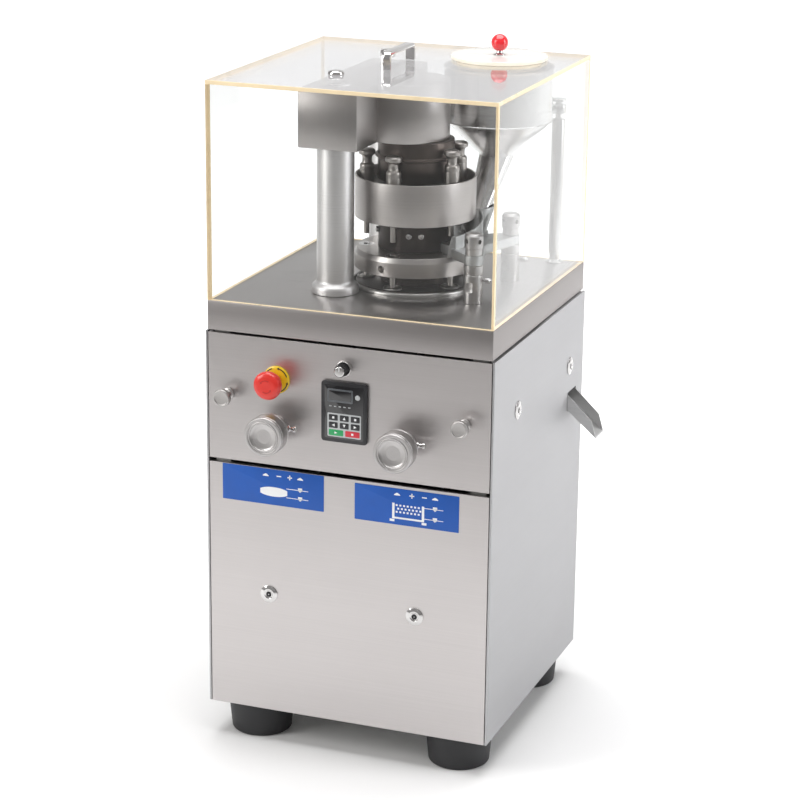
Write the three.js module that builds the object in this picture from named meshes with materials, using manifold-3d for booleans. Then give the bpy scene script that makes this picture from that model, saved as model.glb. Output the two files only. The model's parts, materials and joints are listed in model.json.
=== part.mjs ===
// Small rotary tablet press: a stainless cabinet on four rubber feet carries a five-station turret
// under a clear guard, with its drive, cams and adjusters inside. Millimetres, +Z up, front is -Y.
import * as THREE from 'three';
import { mergeVertices } from 'three/addons/utils/BufferGeometryUtils.js';
import Module from 'manifold-3d';

const wasm = await Module();
wasm.setup();

// ---------------------------------------------------------------- driving dimensions
const GAP = 0.3;                 // clearance between neighbouring pieces
const WIDTH = 480;               // cabinet and guard, side to side
const DEPTH = 480;               // cabinet and guard, front to back
const FOOT_HEIGHT = 57;
const CABINET_TOP = 702;         // underside of the table's skirt
const TABLE_TOP = 750;
const GUARD_TOP = 1102;
const GUARD_WALL = 6;
const SHEET = 3;                 // cabinet sheet with its backing
const SHIFT = { x: -26, y: 31 }; // from the cabinet's centre to the middle of the overall plan

const HALF_W = WIDTH / 2;
const HALF_D = DEPTH / 2;
const FRONT = -HALF_D;

const POST = { outer: 231, leg: 26, wall: 5 };     // corner posts of the frame
const BED = { z0: 706, z1: 741.7 };
const FRAME_BOTTOM = FOOT_HEIGHT + GAP;
const FOOT_SPOTS = [
  { name: 'foot_front_left', x: -176, y: -178 },
  { name: 'foot_front_right', x: 176, y: -178 },
  { name: 'foot_rear_left', x: -176, y: 178 },
  { name: 'foot_rear_right', x: 176, y: 178 },
];
const DROP = { x0: 20, x1: 50, y0: 152, y1: 180 };  // hole where tablets fall to the chute

const TURRET = { x: 24, y: -5 }; // main shaft axis
const PITCH_R = 80;              // circle of the punches
const STATION_ANGLES = [264, 336, 48, 120, 192];
const SHAFT_R = 20;
const BARREL_R = 12;
const TIP_R = 4.5;
const PUNCH_LENGTH = 140;
const TABLE_DISC_R = 98.5;
const DISC_TOP = 812;            // top of the die table
const UPPER_TIP_Z = [834, 842, 838, 836, 829.5];
const LOWER_HEAD_Z = 660;
const LOWER_TRACK_TOP = LOWER_HEAD_Z - 0.5;

const HEAD = { x0: -118, x1: -18, y0: -160, y1: 160, bottom: 991, top: 1085 };
const COLUMN = { x: -73, front: -111, rear: 118, radius: 30, stud: 14 };
const ROLLER_X = { low: -71, high: -41 };
const UPPER_ROLLER = { radius: 38, spindle: 10, z: 1028 };
const LOWER_ROLLER = { radius: 30, z: 624, throwY: 3 };

const HOPPER = { x: 113, y: 142, radius: 90, shoulder: 1002, neck: 944, rim: 1090, wall: 1.6 };
const SPOUT = { x: 101, y: 64, z: 836, radius: 14, neckRadius: 30 };
const STAND = { x: 195, y: 215, radius: 11.5, rod: 6 };
const POSTS = [
  { name: 'feeder_post_front', x: 154, y: -89 },
  { name: 'feeder_post_rear', x: 163, y: 70 },
];
const POST_R = 15.5;
const FEEDER = { inner: 64, outer: 112, from: -30, to: 72, bottom: DISC_TOP + 0.5, top: 828 };
const SCOOP = { from: -34, wallR: 108, wall: 2.5, cupRadius: 20, cupTopRadius: 25, cupTop: { x: 104, y: 85, z: 868 } };
const PUNCH_SWEEP = { tipR: 86, barrelR: 100, barrelFrom: 850 };

const WORM = { x: 84, z: 550, radius: 19.4 };
const WORM_WHEEL_R = 40;
const BOX = { x0: -38, x1: 110, y0: -52.5, y1: 42.5, z0: 503.3, z1: 611.7, wall: 6 };
const SHELF = { z0: 495, z1: 503 };
const MOTOR = { x: 84, z: 190, radius: 72 };
const BELT = { y0: 99, y1: 111, thickness: 8, topCore: 38, motorCore: 26 };

const PRESSURE = { x: -118, z: 554 };
const FILL = { x: 100, z: 554 };
const FILL_CAM_ANGLE = 301;
const FILL_CAM = { top: 655, stem: 9, wheelR: 20 };
const LOCKS = [
  { name: 'door_lock_left', side: 'front', x: -135, z: 265 },
  { name: 'door_lock_right', side: 'front', x: 118, z: 264 },
  { name: 'side_lock_front', side: 'right', y: -119, z: 590 },
  { name: 'side_lock_rear', side: 'right', y: 163, z: 587 },
];
const LOCK_R = 15;
const LOCK_BARREL_R = 8;
const PANEL_X = HALF_W + 3.5;    // outer face of the side panels
const EMERGENCY = { x: -120, z: 632 };
const DIAL = { x: -4, z: 664 };
const KNOBS = [
  { name: 'panel_knob_left', x: -204, z: 599 },
  { name: 'panel_knob_right', x: 197, z: 595 },
];
const KEYPAD = { x0: -42, x1: 36, z0: 542, z1: 642 };
const CHUTE = {
  y0: 156, y1: 202, depth: 22, wall: 1.6,
  insideX: 15, insideZ: 655, wallX: 243.5, wallZ: 510.5, endX: 295.5, endZ: 466,
  slotBottom: 508, slotTop: 541,
};

// Facets round a full turn: large discs, shafts and knobs, small pins.
const FINE = 36;
const ROUND = 20;
const SMALL = 12;

// ---------------------------------------------------------------- solid helpers
function solid(geometry) {
  const bare = geometry.clone();
  bare.deleteAttribute('normal');
  bare.deleteAttribute('uv');
  const merged = mergeVertices(bare, 1e-4);
  return new wasm.Manifold(new wasm.Mesh({
    numProp: 3,
    vertProperties: new Float32Array(merged.attributes.position.array),
    triVerts: new Uint32Array(merged.index.array),
  }));
}

function box(x0, x1, y0, y1, z0, z1) {
  const geometry = new THREE.BoxGeometry(x1 - x0, y1 - y0, z1 - z0);
  geometry.translate((x0 + x1) / 2, (y0 + y1) / 2, (z0 + z1) / 2);
  return solid(geometry);
}

// A profile of [radius, height] points turned about Z and moved to (x, y).
function turned(profile, x, y, segments = ROUND) {
  const points = profile.map(([radius, height]) => new THREE.Vector2(radius, height));
  const geometry = new THREE.LatheGeometry(points, segments);
  geometry.rotateX(Math.PI / 2);
  geometry.translate(x, y, 0);
  return fixWinding(geometry);
}

function fixWinding(geometry) {
  const made = solid(geometry);
  if (made.volume() > 0) return made;
  const flipped = geometry.clone();
  const index = flipped.index.array;
  for (let i = 0; i < index.length; i += 3) {
    const first = index[i];
    index[i] = index[i + 1];
    index[i + 1] = first;
  }
  return solid(flipped);
}

function rod(radius, z0, z1, x, y, segments = ROUND) {
  return turned([[0, z0], [radius, z0], [radius, z1], [0, z1]], x, y, segments);
}

function ring(outer, inner, z0, z1, x, y, segments = ROUND) {
  return turned([[inner, z0], [outer, z0], [outer, z1], [inner, z1], [inner, z0]], x, y, segments);
}

// A profile of [radius, distance] turned about a line along X or Y through the given point.
function turnedAlong(axis, profile, centre, segments = ROUND) {
  const points = profile.map(([radius, along]) => new THREE.Vector2(radius, along));
  const geometry = new THREE.LatheGeometry(points, segments);
  if (axis === 'x') geometry.rotateZ(-Math.PI / 2);
  geometry.translate(centre.x ?? 0, centre.y ?? 0, centre.z ?? 0);
  return fixWinding(geometry);
}

function rodAlong(axis, radius, from, to, centre, segments = ROUND) {
  return turnedAlong(axis, [[0, from], [radius, from], [radius, to], [0, to]], centre, segments);
}

// An outline in the XY plane raised from z0 to z1.
function raised(shape, z0, z1, curveSegments = 12) {
  const geometry = new THREE.ExtrudeGeometry(shape, { depth: z1 - z0, bevelEnabled: false, curveSegments });
  geometry.translate(0, 0, z0);
  return solid(geometry);
}

// An outline in the YZ plane carried from x0 to x1.
function carriedAlongX(shape, x0, x1, curveSegments = 8) {
  const geometry = new THREE.ExtrudeGeometry(shape, { depth: x1 - x0, bevelEnabled: false, curveSegments });
  geometry.rotateX(Math.PI / 2);
  geometry.rotateZ(Math.PI / 2);
  geometry.translate(x0, 0, 0);
  return solid(geometry);
}

// An outline in the XZ plane carried from y0 to y1.
function carriedAlongY(shape, y0, y1, curveSegments = 8) {
  const geometry = new THREE.ExtrudeGeometry(shape, { depth: y1 - y0, bevelEnabled: false, curveSegments });
  geometry.rotateX(Math.PI / 2);
  geometry.translate(0, y1, 0);
  return solid(geometry);
}

function outline(points) {
  const shape = new THREE.Shape();
  points.forEach(([a, b], i) => (i === 0 ? shape.moveTo(a, b) : shape.lineTo(a, b)));
  shape.closePath();
  return shape;
}

function roundedOutline(a0, a1, b0, b1, r) {
  const shape = new THREE.Shape();
  shape.moveTo(a0 + r, b0);
  shape.lineTo(a1 - r, b0);
  shape.absarc(a1 - r, b0 + r, r, -Math.PI / 2, 0);
  shape.lineTo(a1, b1 - r);
  shape.absarc(a1 - r, b1 - r, r, 0, Math.PI / 2);
  shape.lineTo(a0 + r, b1);
  shape.absarc(a0 + r, b1 - r, r, Math.PI / 2, Math.PI);
  shape.lineTo(a0, b0 + r);
  shape.absarc(a0 + r, b0 + r, r, Math.PI, 1.5 * Math.PI);
  shape.closePath();
  return shape;
}

// A straight-sided funnel whose round ends need not be above each other.
function slantedCone(low, high, segments = SMALL) {
  const positions = [];
  const rings = [low, high];
  for (const end of rings) {
    for (let i = 0; i < segments; i += 1) {
      const angle = (2 * Math.PI * i) / segments;
      positions.push(end.x + end.radius * Math.cos(angle), end.y + end.radius * Math.sin(angle), end.z);
    }
  }
  positions.push(low.x, low.y, low.z, high.x, high.y, high.z);
  const lowCentre = 2 * segments;
  const highCentre = lowCentre + 1;
  const triangles = [];
  for (let i = 0; i < segments; i += 1) {
    const next = (i + 1) % segments;
    triangles.push(i, next, segments + next, i, segments + next, segments + i);
    triangles.push(lowCentre, next, i);
    triangles.push(highCentre, segments + i, segments + next);
  }
  const geometry = new THREE.BufferGeometry();
  geometry.setAttribute('position', new THREE.Float32BufferAttribute(positions, 3));
  geometry.setIndex(triangles);
  return solid(geometry);
}

function unite(pieces) {
  return pieces.reduce((whole, piece) => whole.add(piece));
}

function cutAll(body, cutters) {
  return cutters.reduce((rest, cutter) => rest.subtract(cutter), body);
}

const radians = (degrees) => (degrees * Math.PI) / 180;

function onTurret(angle, radius = PITCH_R) {
  return {
    x: TURRET.x + radius * Math.cos(radians(angle)),
    y: TURRET.y + radius * Math.sin(radians(angle)),
  };
}

// ---------------------------------------------------------------- materials
const brushed = { color: 0xb9b7b4, roughness: 0.38, metalness: 0.9 };
const polished = { color: 0xd9d9d8, roughness: 0.14, metalness: 1.0 };
const castGrey = { color: 0x8d8b88, roughness: 0.5, metalness: 0.7 };
const darkSteel = { color: 0x3b3936, roughness: 0.4, metalness: 0.8 };
const bronze = { color: 0xb08d57, roughness: 0.35, metalness: 0.9 };
const rubber = { color: 0x1b1b1c, roughness: 0.9, metalness: 0.0 };
const clear = { color: 0xe8ecec, roughness: 0.08, metalness: 0.0 };
const red = { color: 0xd3262a, roughness: 0.35, metalness: 0.0 };
const blackPlastic = { color: 0x232325, roughness: 0.5, metalness: 0.0 };
const motorPaint = { color: 0x5f7078, roughness: 0.55, metalness: 0.2 };

const press = new THREE.Group();
press.name = 'tablet_press';
press.position.set(SHIFT.x, SHIFT.y, 0);

function place(name, body, look) {
  const made = body.getMesh();
  const geometry = new THREE.BufferGeometry();
  geometry.setAttribute('position', new THREE.Float32BufferAttribute(made.vertProperties, 3));
  geometry.setIndex(Array.from(made.triVerts));
  geometry.computeVertexNormals();
  const mesh = new THREE.Mesh(geometry, new THREE.MeshStandardMaterial(look));
  mesh.name = name;
  press.add(mesh);
}

// ---------------------------------------------------------------- frame and cabinet

function cornerPost(sideX, sideY) {
  const { outer, leg, wall } = POST;
  const points = [[outer, outer], [outer - leg, outer], [outer - leg, outer - wall],
    [outer - wall, outer - wall], [outer - wall, outer - leg], [outer, outer - leg]];
  const mirrored = points.map(([a, b]) => [a * sideX, b * sideY]);
  if (sideX * sideY < 0) mirrored.reverse();
  return raised(outline(mirrored), FRAME_BOTTOM, BED.z1);
}

function buildBaseFrame() {
  const { outer } = POST;
  const fillSpot = onTurret(FILL_CAM_ANGLE);
  const bar = 15;
  const posts = [[1, 1], [1, -1], [-1, 1], [-1, -1]].map(([a, b]) => cornerPost(a, b));
  const floor = box(-outer, outer, -outer, outer, FRAME_BOTTOM, FRAME_BOTTOM + 8);
  const sideRails = [-1, 1].map((side) => {
    const inner = side * (outer - bar);
    const edge = side * outer;
    return box(Math.min(inner, edge), Math.max(inner, edge), -outer, outer, SHELF.z0 - 12, SHELF.z0);
  });
  const shelf = box(-outer, outer, -128, 70, SHELF.z0, SHELF.z1);
  const bed = box(-outer, outer, -outer, outer, BED.z0, BED.z1);
  const lugs = [
    box(PRESSURE.x - 14, PRESSURE.x + 14, -100, -88, SHELF.z1, PRESSURE.z + 16),
    box(PRESSURE.x - 14, PRESSURE.x + 14, 40, 52, SHELF.z1, PRESSURE.z + 16),
    box(FILL.x - 14, FILL.x + 14, -124, -112, SHELF.z1, FILL.z + 16),
  ];
  const motorSlab = box(30, 138, -115, 45, FRAME_BOTTOM + 8, FRAME_BOTTOM + 22);
  const body = unite([floor, ...posts, ...sideRails, shelf, bed, ...lugs, motorSlab]);
  return cutAll(body, [
    rod(TABLE_DISC_R, BED.z0 - 1, BED.z1 + 1, TURRET.x, TURRET.y, FINE),
    rod(COLUMN.stud + GAP, BED.z0 + 6, BED.z1 + 1, COLUMN.x, COLUMN.front),
    rod(COLUMN.stud + GAP, BED.z0 + 6, BED.z1 + 1, COLUMN.x, COLUMN.rear),
    box(18, 52, 150, 182, BED.z0 - 1, BED.z1 + 1),
    rod(FILL_CAM.stem + GAP, SHELF.z0 - 1, SHELF.z1 + 1, fillSpot.x, fillSpot.y),
    rodAlong('y', 8.3, -101, 53, PRESSURE),
    rodAlong('y', 8.3, -125, -111, FILL),
  ]);
}

function buildFoot(spot) {
  const profile = [[0, 0], [49, 0], [50, 3], [55, FOOT_HEIGHT - 6], [55, FOOT_HEIGHT], [0, FOOT_HEIGHT]];
  return turned(profile, spot.x, spot.y, ROUND);
}

function buildControlPanel() {
  const z0 = 488;
  const z1 = 698;
  const plate = box(-HALF_W + 1, HALF_W - 1, FRONT, FRONT + SHEET, z0, z1);
  const lowerHem = box(-HALF_W + 1, HALF_W - 1, FRONT, FRONT + 8, z0, z0 + SHEET);
  const upperHem = box(-HALF_W + 1, HALF_W - 1, FRONT, FRONT + 8, z1 - SHEET, z1);
  const bushes = [PRESSURE, FILL].map((axis) => rodAlong('y', 17, FRONT - 6, FRONT + 1, axis, ROUND));
  const body = unite([plate, lowerHem, upperHem, ...bushes]);
  const depth = [FRONT - 8, FRONT + 9];
  return cutAll(body, [
    rodAlong('y', 8.3, ...depth, PRESSURE),
    rodAlong('y', 8.3, ...depth, FILL),
    rodAlong('y', 11.3, ...depth, EMERGENCY),
    rodAlong('y', 4.8, ...depth, DIAL),
    rodAlong('y', 4.3, ...depth, KNOBS[0]),
    rodAlong('y', 4.3, ...depth, KNOBS[1]),
    box(KEYPAD.x0 + 4, KEYPAD.x1 - 4, depth[0], depth[1], KEYPAD.z0 + 4, KEYPAD.z1 - 4),
  ]);
}

function buildLowerDoor() {
  const z0 = 60;
  const z1 = 481;
  const plate = box(-HALF_W + 1, HALF_W - 1, FRONT, FRONT + SHEET, z0, z1);
  const hems = [
    box(-HALF_W + 1, -HALF_W + 4, FRONT, FRONT + 8, z0, z1),
    box(HALF_W - 4, HALF_W - 1, FRONT, FRONT + 8, z0, z1),
    box(-HALF_W + 1, HALF_W - 1, FRONT, FRONT + 8, z1 - SHEET, z1),
    box(-HALF_W + 1, HALF_W - 1, FRONT, FRONT + 8, z0, z0 + SHEET),
  ];
  const holes = LOCKS.filter((lock) => lock.side === 'front')
    .map((lock) => rodAlong('y', LOCK_BARREL_R + GAP, FRONT - 1, FRONT + 9, lock));
  return cutAll(unite([plate, ...hems]), holes);
}

function buildSidePanel(side) {
  const inner = PANEL_X - SHEET;
  const span = side > 0 ? [inner, PANEL_X] : [-PANEL_X, -inner];
  const hemSpan = side > 0 ? [inner - 6, inner + 1] : [-inner - 1, -inner + 6];
  const z0 = 60;
  const z1 = 700;
  const plate = box(...span, FRONT, HALF_D, z0, z1);
  const hems = [
    box(...hemSpan, FRONT + 9, HALF_D - 9, z1 - SHEET, z1),
    box(...hemSpan, FRONT + 9, HALF_D - 9, z0, z0 + SHEET),
  ];
  const body = unite([plate, ...hems]);
  if (side < 0) return body;
  const holes = LOCKS.filter((lock) => lock.side === 'right')
    .map((lock) => rodAlong('x', LOCK_BARREL_R + GAP, inner - 8, PANEL_X + 1, lock));
  const slot = box(inner - 8, PANEL_X + 1, CHUTE.y0 - 1, CHUTE.y1 + 1, CHUTE.slotBottom, CHUTE.slotTop);
  return cutAll(body, [...holes, slot]);
}

function buildRearPanel() {
  const plate = box(-HALF_W + 1, HALF_W - 1, HALF_D - SHEET, HALF_D, 60, 698);
  const vents = [];
  for (let row = 0; row < 6; row += 1) {
    const z = 150 + row * 16;
    vents.push(box(-60, 60, HALF_D - SHEET - 1, HALF_D + 1, z, z + 5));
  }
  return cutAll(plate, vents);
}

function buildTableTop() {
  const plate = box(-HALF_W, HALF_W, -HALF_D, HALF_D, TABLE_TOP - 8, TABLE_TOP);
  const skirt = cutAll(box(-HALF_W, HALF_W, -HALF_D, HALF_D, CABINET_TOP, TABLE_TOP - 7), [
    box(-HALF_W + 4, HALF_W - 4, -HALF_D + 4, HALF_D - 4, CABINET_TOP - 1, TABLE_TOP - 6),
  ]);
  const rim = ring(105, 99, TABLE_TOP - 1, TABLE_TOP + 7, TURRET.x, TURRET.y, FINE);
  const body = unite([plate, skirt, rim]);
  return cutAll(body, [
    rod(99, TABLE_TOP - 10, TABLE_TOP + 8, TURRET.x, TURRET.y, FINE),
    rod(COLUMN.stud + GAP, TABLE_TOP - 10, TABLE_TOP + 1, COLUMN.x, COLUMN.front),
    rod(COLUMN.stud + GAP, TABLE_TOP - 10, TABLE_TOP + 1, COLUMN.x, COLUMN.rear),
    box(DROP.x0, DROP.x1, DROP.y0, DROP.y1, TABLE_TOP - 10, TABLE_TOP + 1),
  ]);
}

// ---------------------------------------------------------------- head, columns and upper cam
function buildColumn(y) {
  const { x, radius, stud } = COLUMN;
  const foot = TABLE_TOP + GAP;
  const head = HEAD.bottom - GAP;
  return turned([
    [0, BED.z0 + 8], [stud, BED.z0 + 8], [stud, foot], [38, foot], [38, foot + 10], [35, foot + 15],
    [radius, foot + 18], [radius, head], [stud, head], [stud, HEAD.top + 4], [0, HEAD.top + 4],
  ], x, y, ROUND);
}

function buildHeadHousing() {
  const arm = box(HEAD.x0, HEAD.x1, HEAD.y0, HEAD.y1, HEAD.bottom, HEAD.top);
  const drum = rod(72, HEAD.bottom, HEAD.top, 5, TURRET.y, FINE);
  const { radius, z } = UPPER_ROLLER;
  return cutAll(unite([arm, drum]), [
    rod(COLUMN.stud + GAP, HEAD.bottom - 1, HEAD.top + 1, COLUMN.x, COLUMN.front),
    rod(COLUMN.stud + GAP, HEAD.bottom - 1, HEAD.top + 1, COLUMN.x, COLUMN.rear),
    rod(SHAFT_R + GAP, HEAD.bottom - 1, HEAD.bottom + 72, TURRET.x, TURRET.y, ROUND),
    box(ROLLER_X.low - 2, ROLLER_X.high + 2, TURRET.y - radius - 3, TURRET.y + radius + 3,
      HEAD.bottom - 1, z + radius + 3),
    rodAlong('x', UPPER_ROLLER.spindle + GAP, HEAD.x0 - 1, -24, { y: TURRET.y, z }, ROUND),
  ]);
}

function buildUpperCamDrum() {
  const bore = 24;
  const outer = 62;
  const rib = 66.2;
  return turned([
    [bore, 925], [outer, 925], [outer, 960.5], [rib, 961.5], [rib, 965.5], [outer, 966.5],
    [outer, HEAD.bottom - GAP], [bore, HEAD.bottom - GAP], [bore, 925],
  ], TURRET.x, TURRET.y, FINE);
}

function buildUpperRoller() {
  const { radius, z, spindle } = UPPER_ROLLER;
  return turnedAlong('x', [
    [0, HEAD.x0 + 1], [spindle, HEAD.x0 + 1], [spindle, ROLLER_X.low], [radius - 3, ROLLER_X.low],
    [radius, ROLLER_X.low + 3], [radius, ROLLER_X.high - 3], [radius - 3, ROLLER_X.high],
    [spindle, ROLLER_X.high], [spindle, -25], [0, -25],
  ], { y: TURRET.y, z }, ROUND);
}

// ---------------------------------------------------------------- turret and punches
function buildMainShaft() {
  return turned([
    [0, 511], [SHAFT_R, 511], [SHAFT_R, WORM.z - 12], [WORM_WHEEL_R - 2, WORM.z - 12],
    [WORM_WHEEL_R, WORM.z - 10], [WORM_WHEEL_R, WORM.z + 10], [WORM_WHEEL_R - 2, WORM.z + 12],
    [SHAFT_R, WORM.z + 12], [SHAFT_R, 1060], [0, 1060],
  ], TURRET.x, TURRET.y, ROUND);
}

function buildDieTable() {
  const bore = SHAFT_R + GAP;
  const waist = 56;
  const drum = 96;
  const body = turned([
    [bore, 695], [drum, 695], [drum, TABLE_TOP + 5], [drum - 2, TABLE_TOP + 7], [waist, TABLE_TOP + 7],
    [waist, 780], [TABLE_DISC_R, 780], [TABLE_DISC_R, 803.5], [TABLE_DISC_R - 3.5, DISC_TOP],
    [bore, DISC_TOP], [bore, 695],
  ], TURRET.x, TURRET.y, FINE);
  const bores = STATION_ANGLES.flatMap((angle) => {
    const { x, y } = onTurret(angle);
    return [rod(BARREL_R + GAP, 694, 765, x, y, SMALL), rod(TIP_R + GAP, 779, DISC_TOP + 1, x, y, SMALL)];
  });
  const tommyHoles = [257, 17, 137].map((angle) => {
    const geometry = new THREE.CylinderGeometry(6, 6, 22, SMALL);
    geometry.rotateZ(Math.PI / 2);
    geometry.translate(TABLE_DISC_R, 0, 0);
    geometry.rotateZ(radians(angle));
    geometry.translate(TURRET.x, TURRET.y, 792);
    return solid(geometry);
  });
  return cutAll(body, [...bores, ...tommyHoles]);
}

function buildUpperTurret() {
  const bore = SHAFT_R + GAP;
  const hub = 60;
  const body = turned([
    [bore, DISC_TOP + GAP], [hub, DISC_TOP + GAP], [hub, 866], [95.2, 866], [95.2, 915], [bore, 915],
    [bore, DISC_TOP + GAP],
  ], TURRET.x, TURRET.y, FINE);
  const bores = STATION_ANGLES.map((angle) => {
    const { x, y } = onTurret(angle);
    return rod(BARREL_R + GAP, 860, 920, x, y, SMALL);
  });
  return cutAll(body, bores);
}

function buildUpperPunch(angle, tipZ) {
  const top = tipZ + PUNCH_LENGTH;
  const { x, y } = onTurret(angle);
  return turned([
    [0, tipZ], [TIP_R, tipZ], [TIP_R, tipZ + 26], [BARREL_R - 1.5, tipZ + 28], [BARREL_R, tipZ + 30],
    [BARREL_R, top - 26], [8, top - 22], [8, top - 11], [13.5, top - 8], [13.5, top - 3], [11, top], [0, top],
  ], x, y, SMALL);
}

function buildLowerPunch(angle) {
  const head = LOWER_HEAD_Z;
  const { x, y } = onTurret(angle);
  return turned([
    [0, head], [11, head], [13.5, head + 3], [13.5, head + 8], [8, head + 11], [8, head + 22],
    [BARREL_R, head + 26], [BARREL_R, 757.5], [BARREL_R - 1.5, 759.5], [TIP_R, 760],
    [TIP_R, head + PUNCH_LENGTH],
    [0, head + PUNCH_LENGTH],
  ], x, y, SMALL);
}

// ---------------------------------------------------------------- lower cam track and rollers
function buildLowerCamTrack() {
  const base = ring(105, 24, 612, 638, TURRET.x, TURRET.y, FINE);
  const track = ring(97, 64, 637, LOWER_TRACK_TOP, TURRET.x, TURRET.y, FINE);
  const spot = onTurret(FILL_CAM_ANGLE);
  const { z } = LOWER_ROLLER;
  return cutAll(unite([base, track]), [
    box(ROLLER_X.low - 2, ROLLER_X.high + 2, TURRET.y - 35, TURRET.y + 41, 611, 661),
    rodAlong('x', 9.3, TURRET.x - 110, -27, { y: TURRET.y, z }, ROUND),
    rod(20.5, 611, 661, spot.x, spot.y, ROUND),
  ]);
}

function buildLowerRollerShaft() {
  const { z, throwY } = LOWER_ROLLER;
  const y = TURRET.y;
  const spindle = rodAlong('x', 9, -128, -27.5, { y, z }, ROUND);
  const journal = rodAlong('x', 12, ROLLER_X.low - 1, ROLLER_X.high + 1, { y: y + throwY, z }, ROUND);
  const wheel = rodAlong('x', 54, PRESSURE.x - 7, PRESSURE.x + 7, { y, z }, ROUND);
  return unite([spindle, journal, wheel]);
}

function buildLowerRoller() {
  const { radius, z, throwY } = LOWER_ROLLER;
  return turnedAlong('x', [
    [12.35, ROLLER_X.low], [radius - 3, ROLLER_X.low], [radius, ROLLER_X.low + 3],
    [radius, ROLLER_X.high - 3], [radius - 3, ROLLER_X.high], [12.35, ROLLER_X.high], [12.35, ROLLER_X.low],
  ], { y: TURRET.y + throwY, z }, ROUND);
}

// The fill cam's button sits on a screwed stem, with the worm wheel that turns it, guided in the shelf.
function buildFillCam() {
  const { x, y } = onTurret(FILL_CAM_ANGLE);
  const { top, stem, wheelR } = FILL_CAM;
  return turned([
    [0, SHELF.z0 - 5], [stem, SHELF.z0 - 5], [stem, FILL.z - 10], [wheelR, FILL.z - 9], [wheelR, FILL.z + 9],
    [stem, FILL.z + 10], [stem, 630], [20, 632], [20, top - 2], [18, top], [0, top],
  ], x, y, ROUND);
}

// ---------------------------------------------------------------- drive
function buildGearboxHousing() {
  const { x0, x1, y0, y1, z0, z1, wall } = BOX;
  const shell = cutAll(box(x0, x1, y0, y1, z0, z1), [
    box(x0 + wall, x1 - wall, y0 + wall, y1 - wall, z0 + wall, z1 + 1),
    rodAlong('y', 10.3, y0 - 1, y1 + 1, WORM),
  ]);
  return shell;
}

function buildWormShaft() {
  const { topCore, y0, y1 } = BELT;
  const rim = topCore + 8;
  return turnedAlong('y', [
    [0, BOX.y0 + 0.5], [10, BOX.y0 + 0.5], [10, -38], [WORM.radius, -36], [WORM.radius, 26], [10, 28],
    [10, y0 - 3],
    [rim, y0 - 3], [rim, y0 - 1], [topCore, y0 - 0.5], [topCore, y1 + 0.5], [rim, y1 + 1], [rim, y1 + 3],
    [12, y1 + 3], [12, y1 + 8], [0, y1 + 8],
  ], WORM, ROUND);
}

function buildMotor() {
  const { x, z, radius } = MOTOR;
  const body = turnedAlong('y', [
    [0, -152], [60, -152], [66, -146], [66, -112], [radius, -110], [radius, 50], [58, 62], [40, 66],
    [40, 78],
    [0, 78],
  ], MOTOR, ROUND);
  const saddle = box(x - 44, x + 44, -100, 36, FRAME_BOTTOM + 22 + GAP, z - 40);
  const terminalBox = box(x - 110, x - 50, -80, -10, z + 5, z + 60);
  const bore = rodAlong('y', 11, 40, 80, MOTOR, ROUND);
  return cutAll(unite([body, saddle, terminalBox]), [bore]);
}

function buildMotorShaft() {
  const { motorCore, y0, y1 } = BELT;
  const rim = motorCore + 8;
  return turnedAlong('y', [
    [0, 42], [10.7, 42], [10.7, y0 - 3], [rim, y0 - 3], [rim, y0 - 1], [motorCore, y0 - 0.5],
    [motorCore, y1 + 0.5], [rim, y1 + 1], [rim, y1 + 3], [0, y1 + 3],
  ], MOTOR, ROUND);
}

// The belt's outline hugs both pulleys: two arcs joined by their common tangents.
function beltOutline(extra) {
  const rTop = BELT.topCore + extra;
  const rLow = BELT.motorCore + extra;
  const lean = Math.asin((rTop - rLow) / (WORM.z - MOTOR.z));
  const shape = new THREE.Shape();
  shape.absarc(WORM.x, WORM.z, rTop, -lean, Math.PI + lean, false);
  shape.absarc(MOTOR.x, MOTOR.z, rLow, Math.PI + lean, 2 * Math.PI - lean, false);
  shape.closePath();
  return shape;
}

function buildDriveBelt() {
  const outer = carriedAlongY(beltOutline(BELT.thickness), BELT.y0, BELT.y1, 14);
  const inner = carriedAlongY(beltOutline(0.35), BELT.y0 - 1, BELT.y1 + 1, 14);
  return outer.subtract(inner);
}

// ---------------------------------------------------------------- feeding
function buildHopper() {
  const { x, y, radius, shoulder, neck, rim, wall } = HOPPER;
  const bowl = turned([
    [SPOUT.neckRadius, neck], [radius, shoulder], [radius, rim - 1], [radius + 1, rim], [radius - wall, rim],
    [radius - wall, shoulder + 0.5], [SPOUT.neckRadius - wall, neck], [SPOUT.neckRadius, neck],
  ], x, y, FINE);
  const mouth = { x: SPOUT.x, y: SPOUT.y, z: SPOUT.z, radius: SPOUT.radius };
  const throat = { x, y, z: neck + 0.4, radius: SPOUT.neckRadius };
  const spout = slantedCone(mouth, throat, FINE).subtract(slantedCone(
    { ...mouth, z: mouth.z - 0.2, radius: mouth.radius - wall },
    { ...throat, z: throat.z + 0.2, radius: throat.radius - wall - 0.02 },
    FINE,
  ));
  const lug = cutAll(unite([
    rod(13, shoulder + 4, shoulder + 18, STAND.x, STAND.y, SMALL),
    lugBridge(shoulder + 4, shoulder + 18),
  ]), [
    rod(STAND.rod + GAP, shoulder, shoulder + 20, STAND.x, STAND.y, SMALL),
    rod(radius - 0.6, shoulder, shoulder + 20, x, y, FINE),
  ]);
  return unite([bowl, spout, lug]);
}

function lugBridge(z0, z1) {
  const dx = STAND.x - HOPPER.x;
  const dy = STAND.y - HOPPER.y;
  const length = Math.hypot(dx, dy);
  const across = [(-dy / length) * 9, (dx / length) * 9];
  const start = [HOPPER.x + (dx / length) * 80, HOPPER.y + (dy / length) * 80];
  const points = [
    [start[0] - across[0], start[1] - across[1]],
    [STAND.x - across[0], STAND.y - across[1]],
    [STAND.x + across[0], STAND.y + across[1]],
    [start[0] + across[0], start[1] + across[1]],
  ];
  return raised(outline(points), z0, z1);
}

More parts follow.
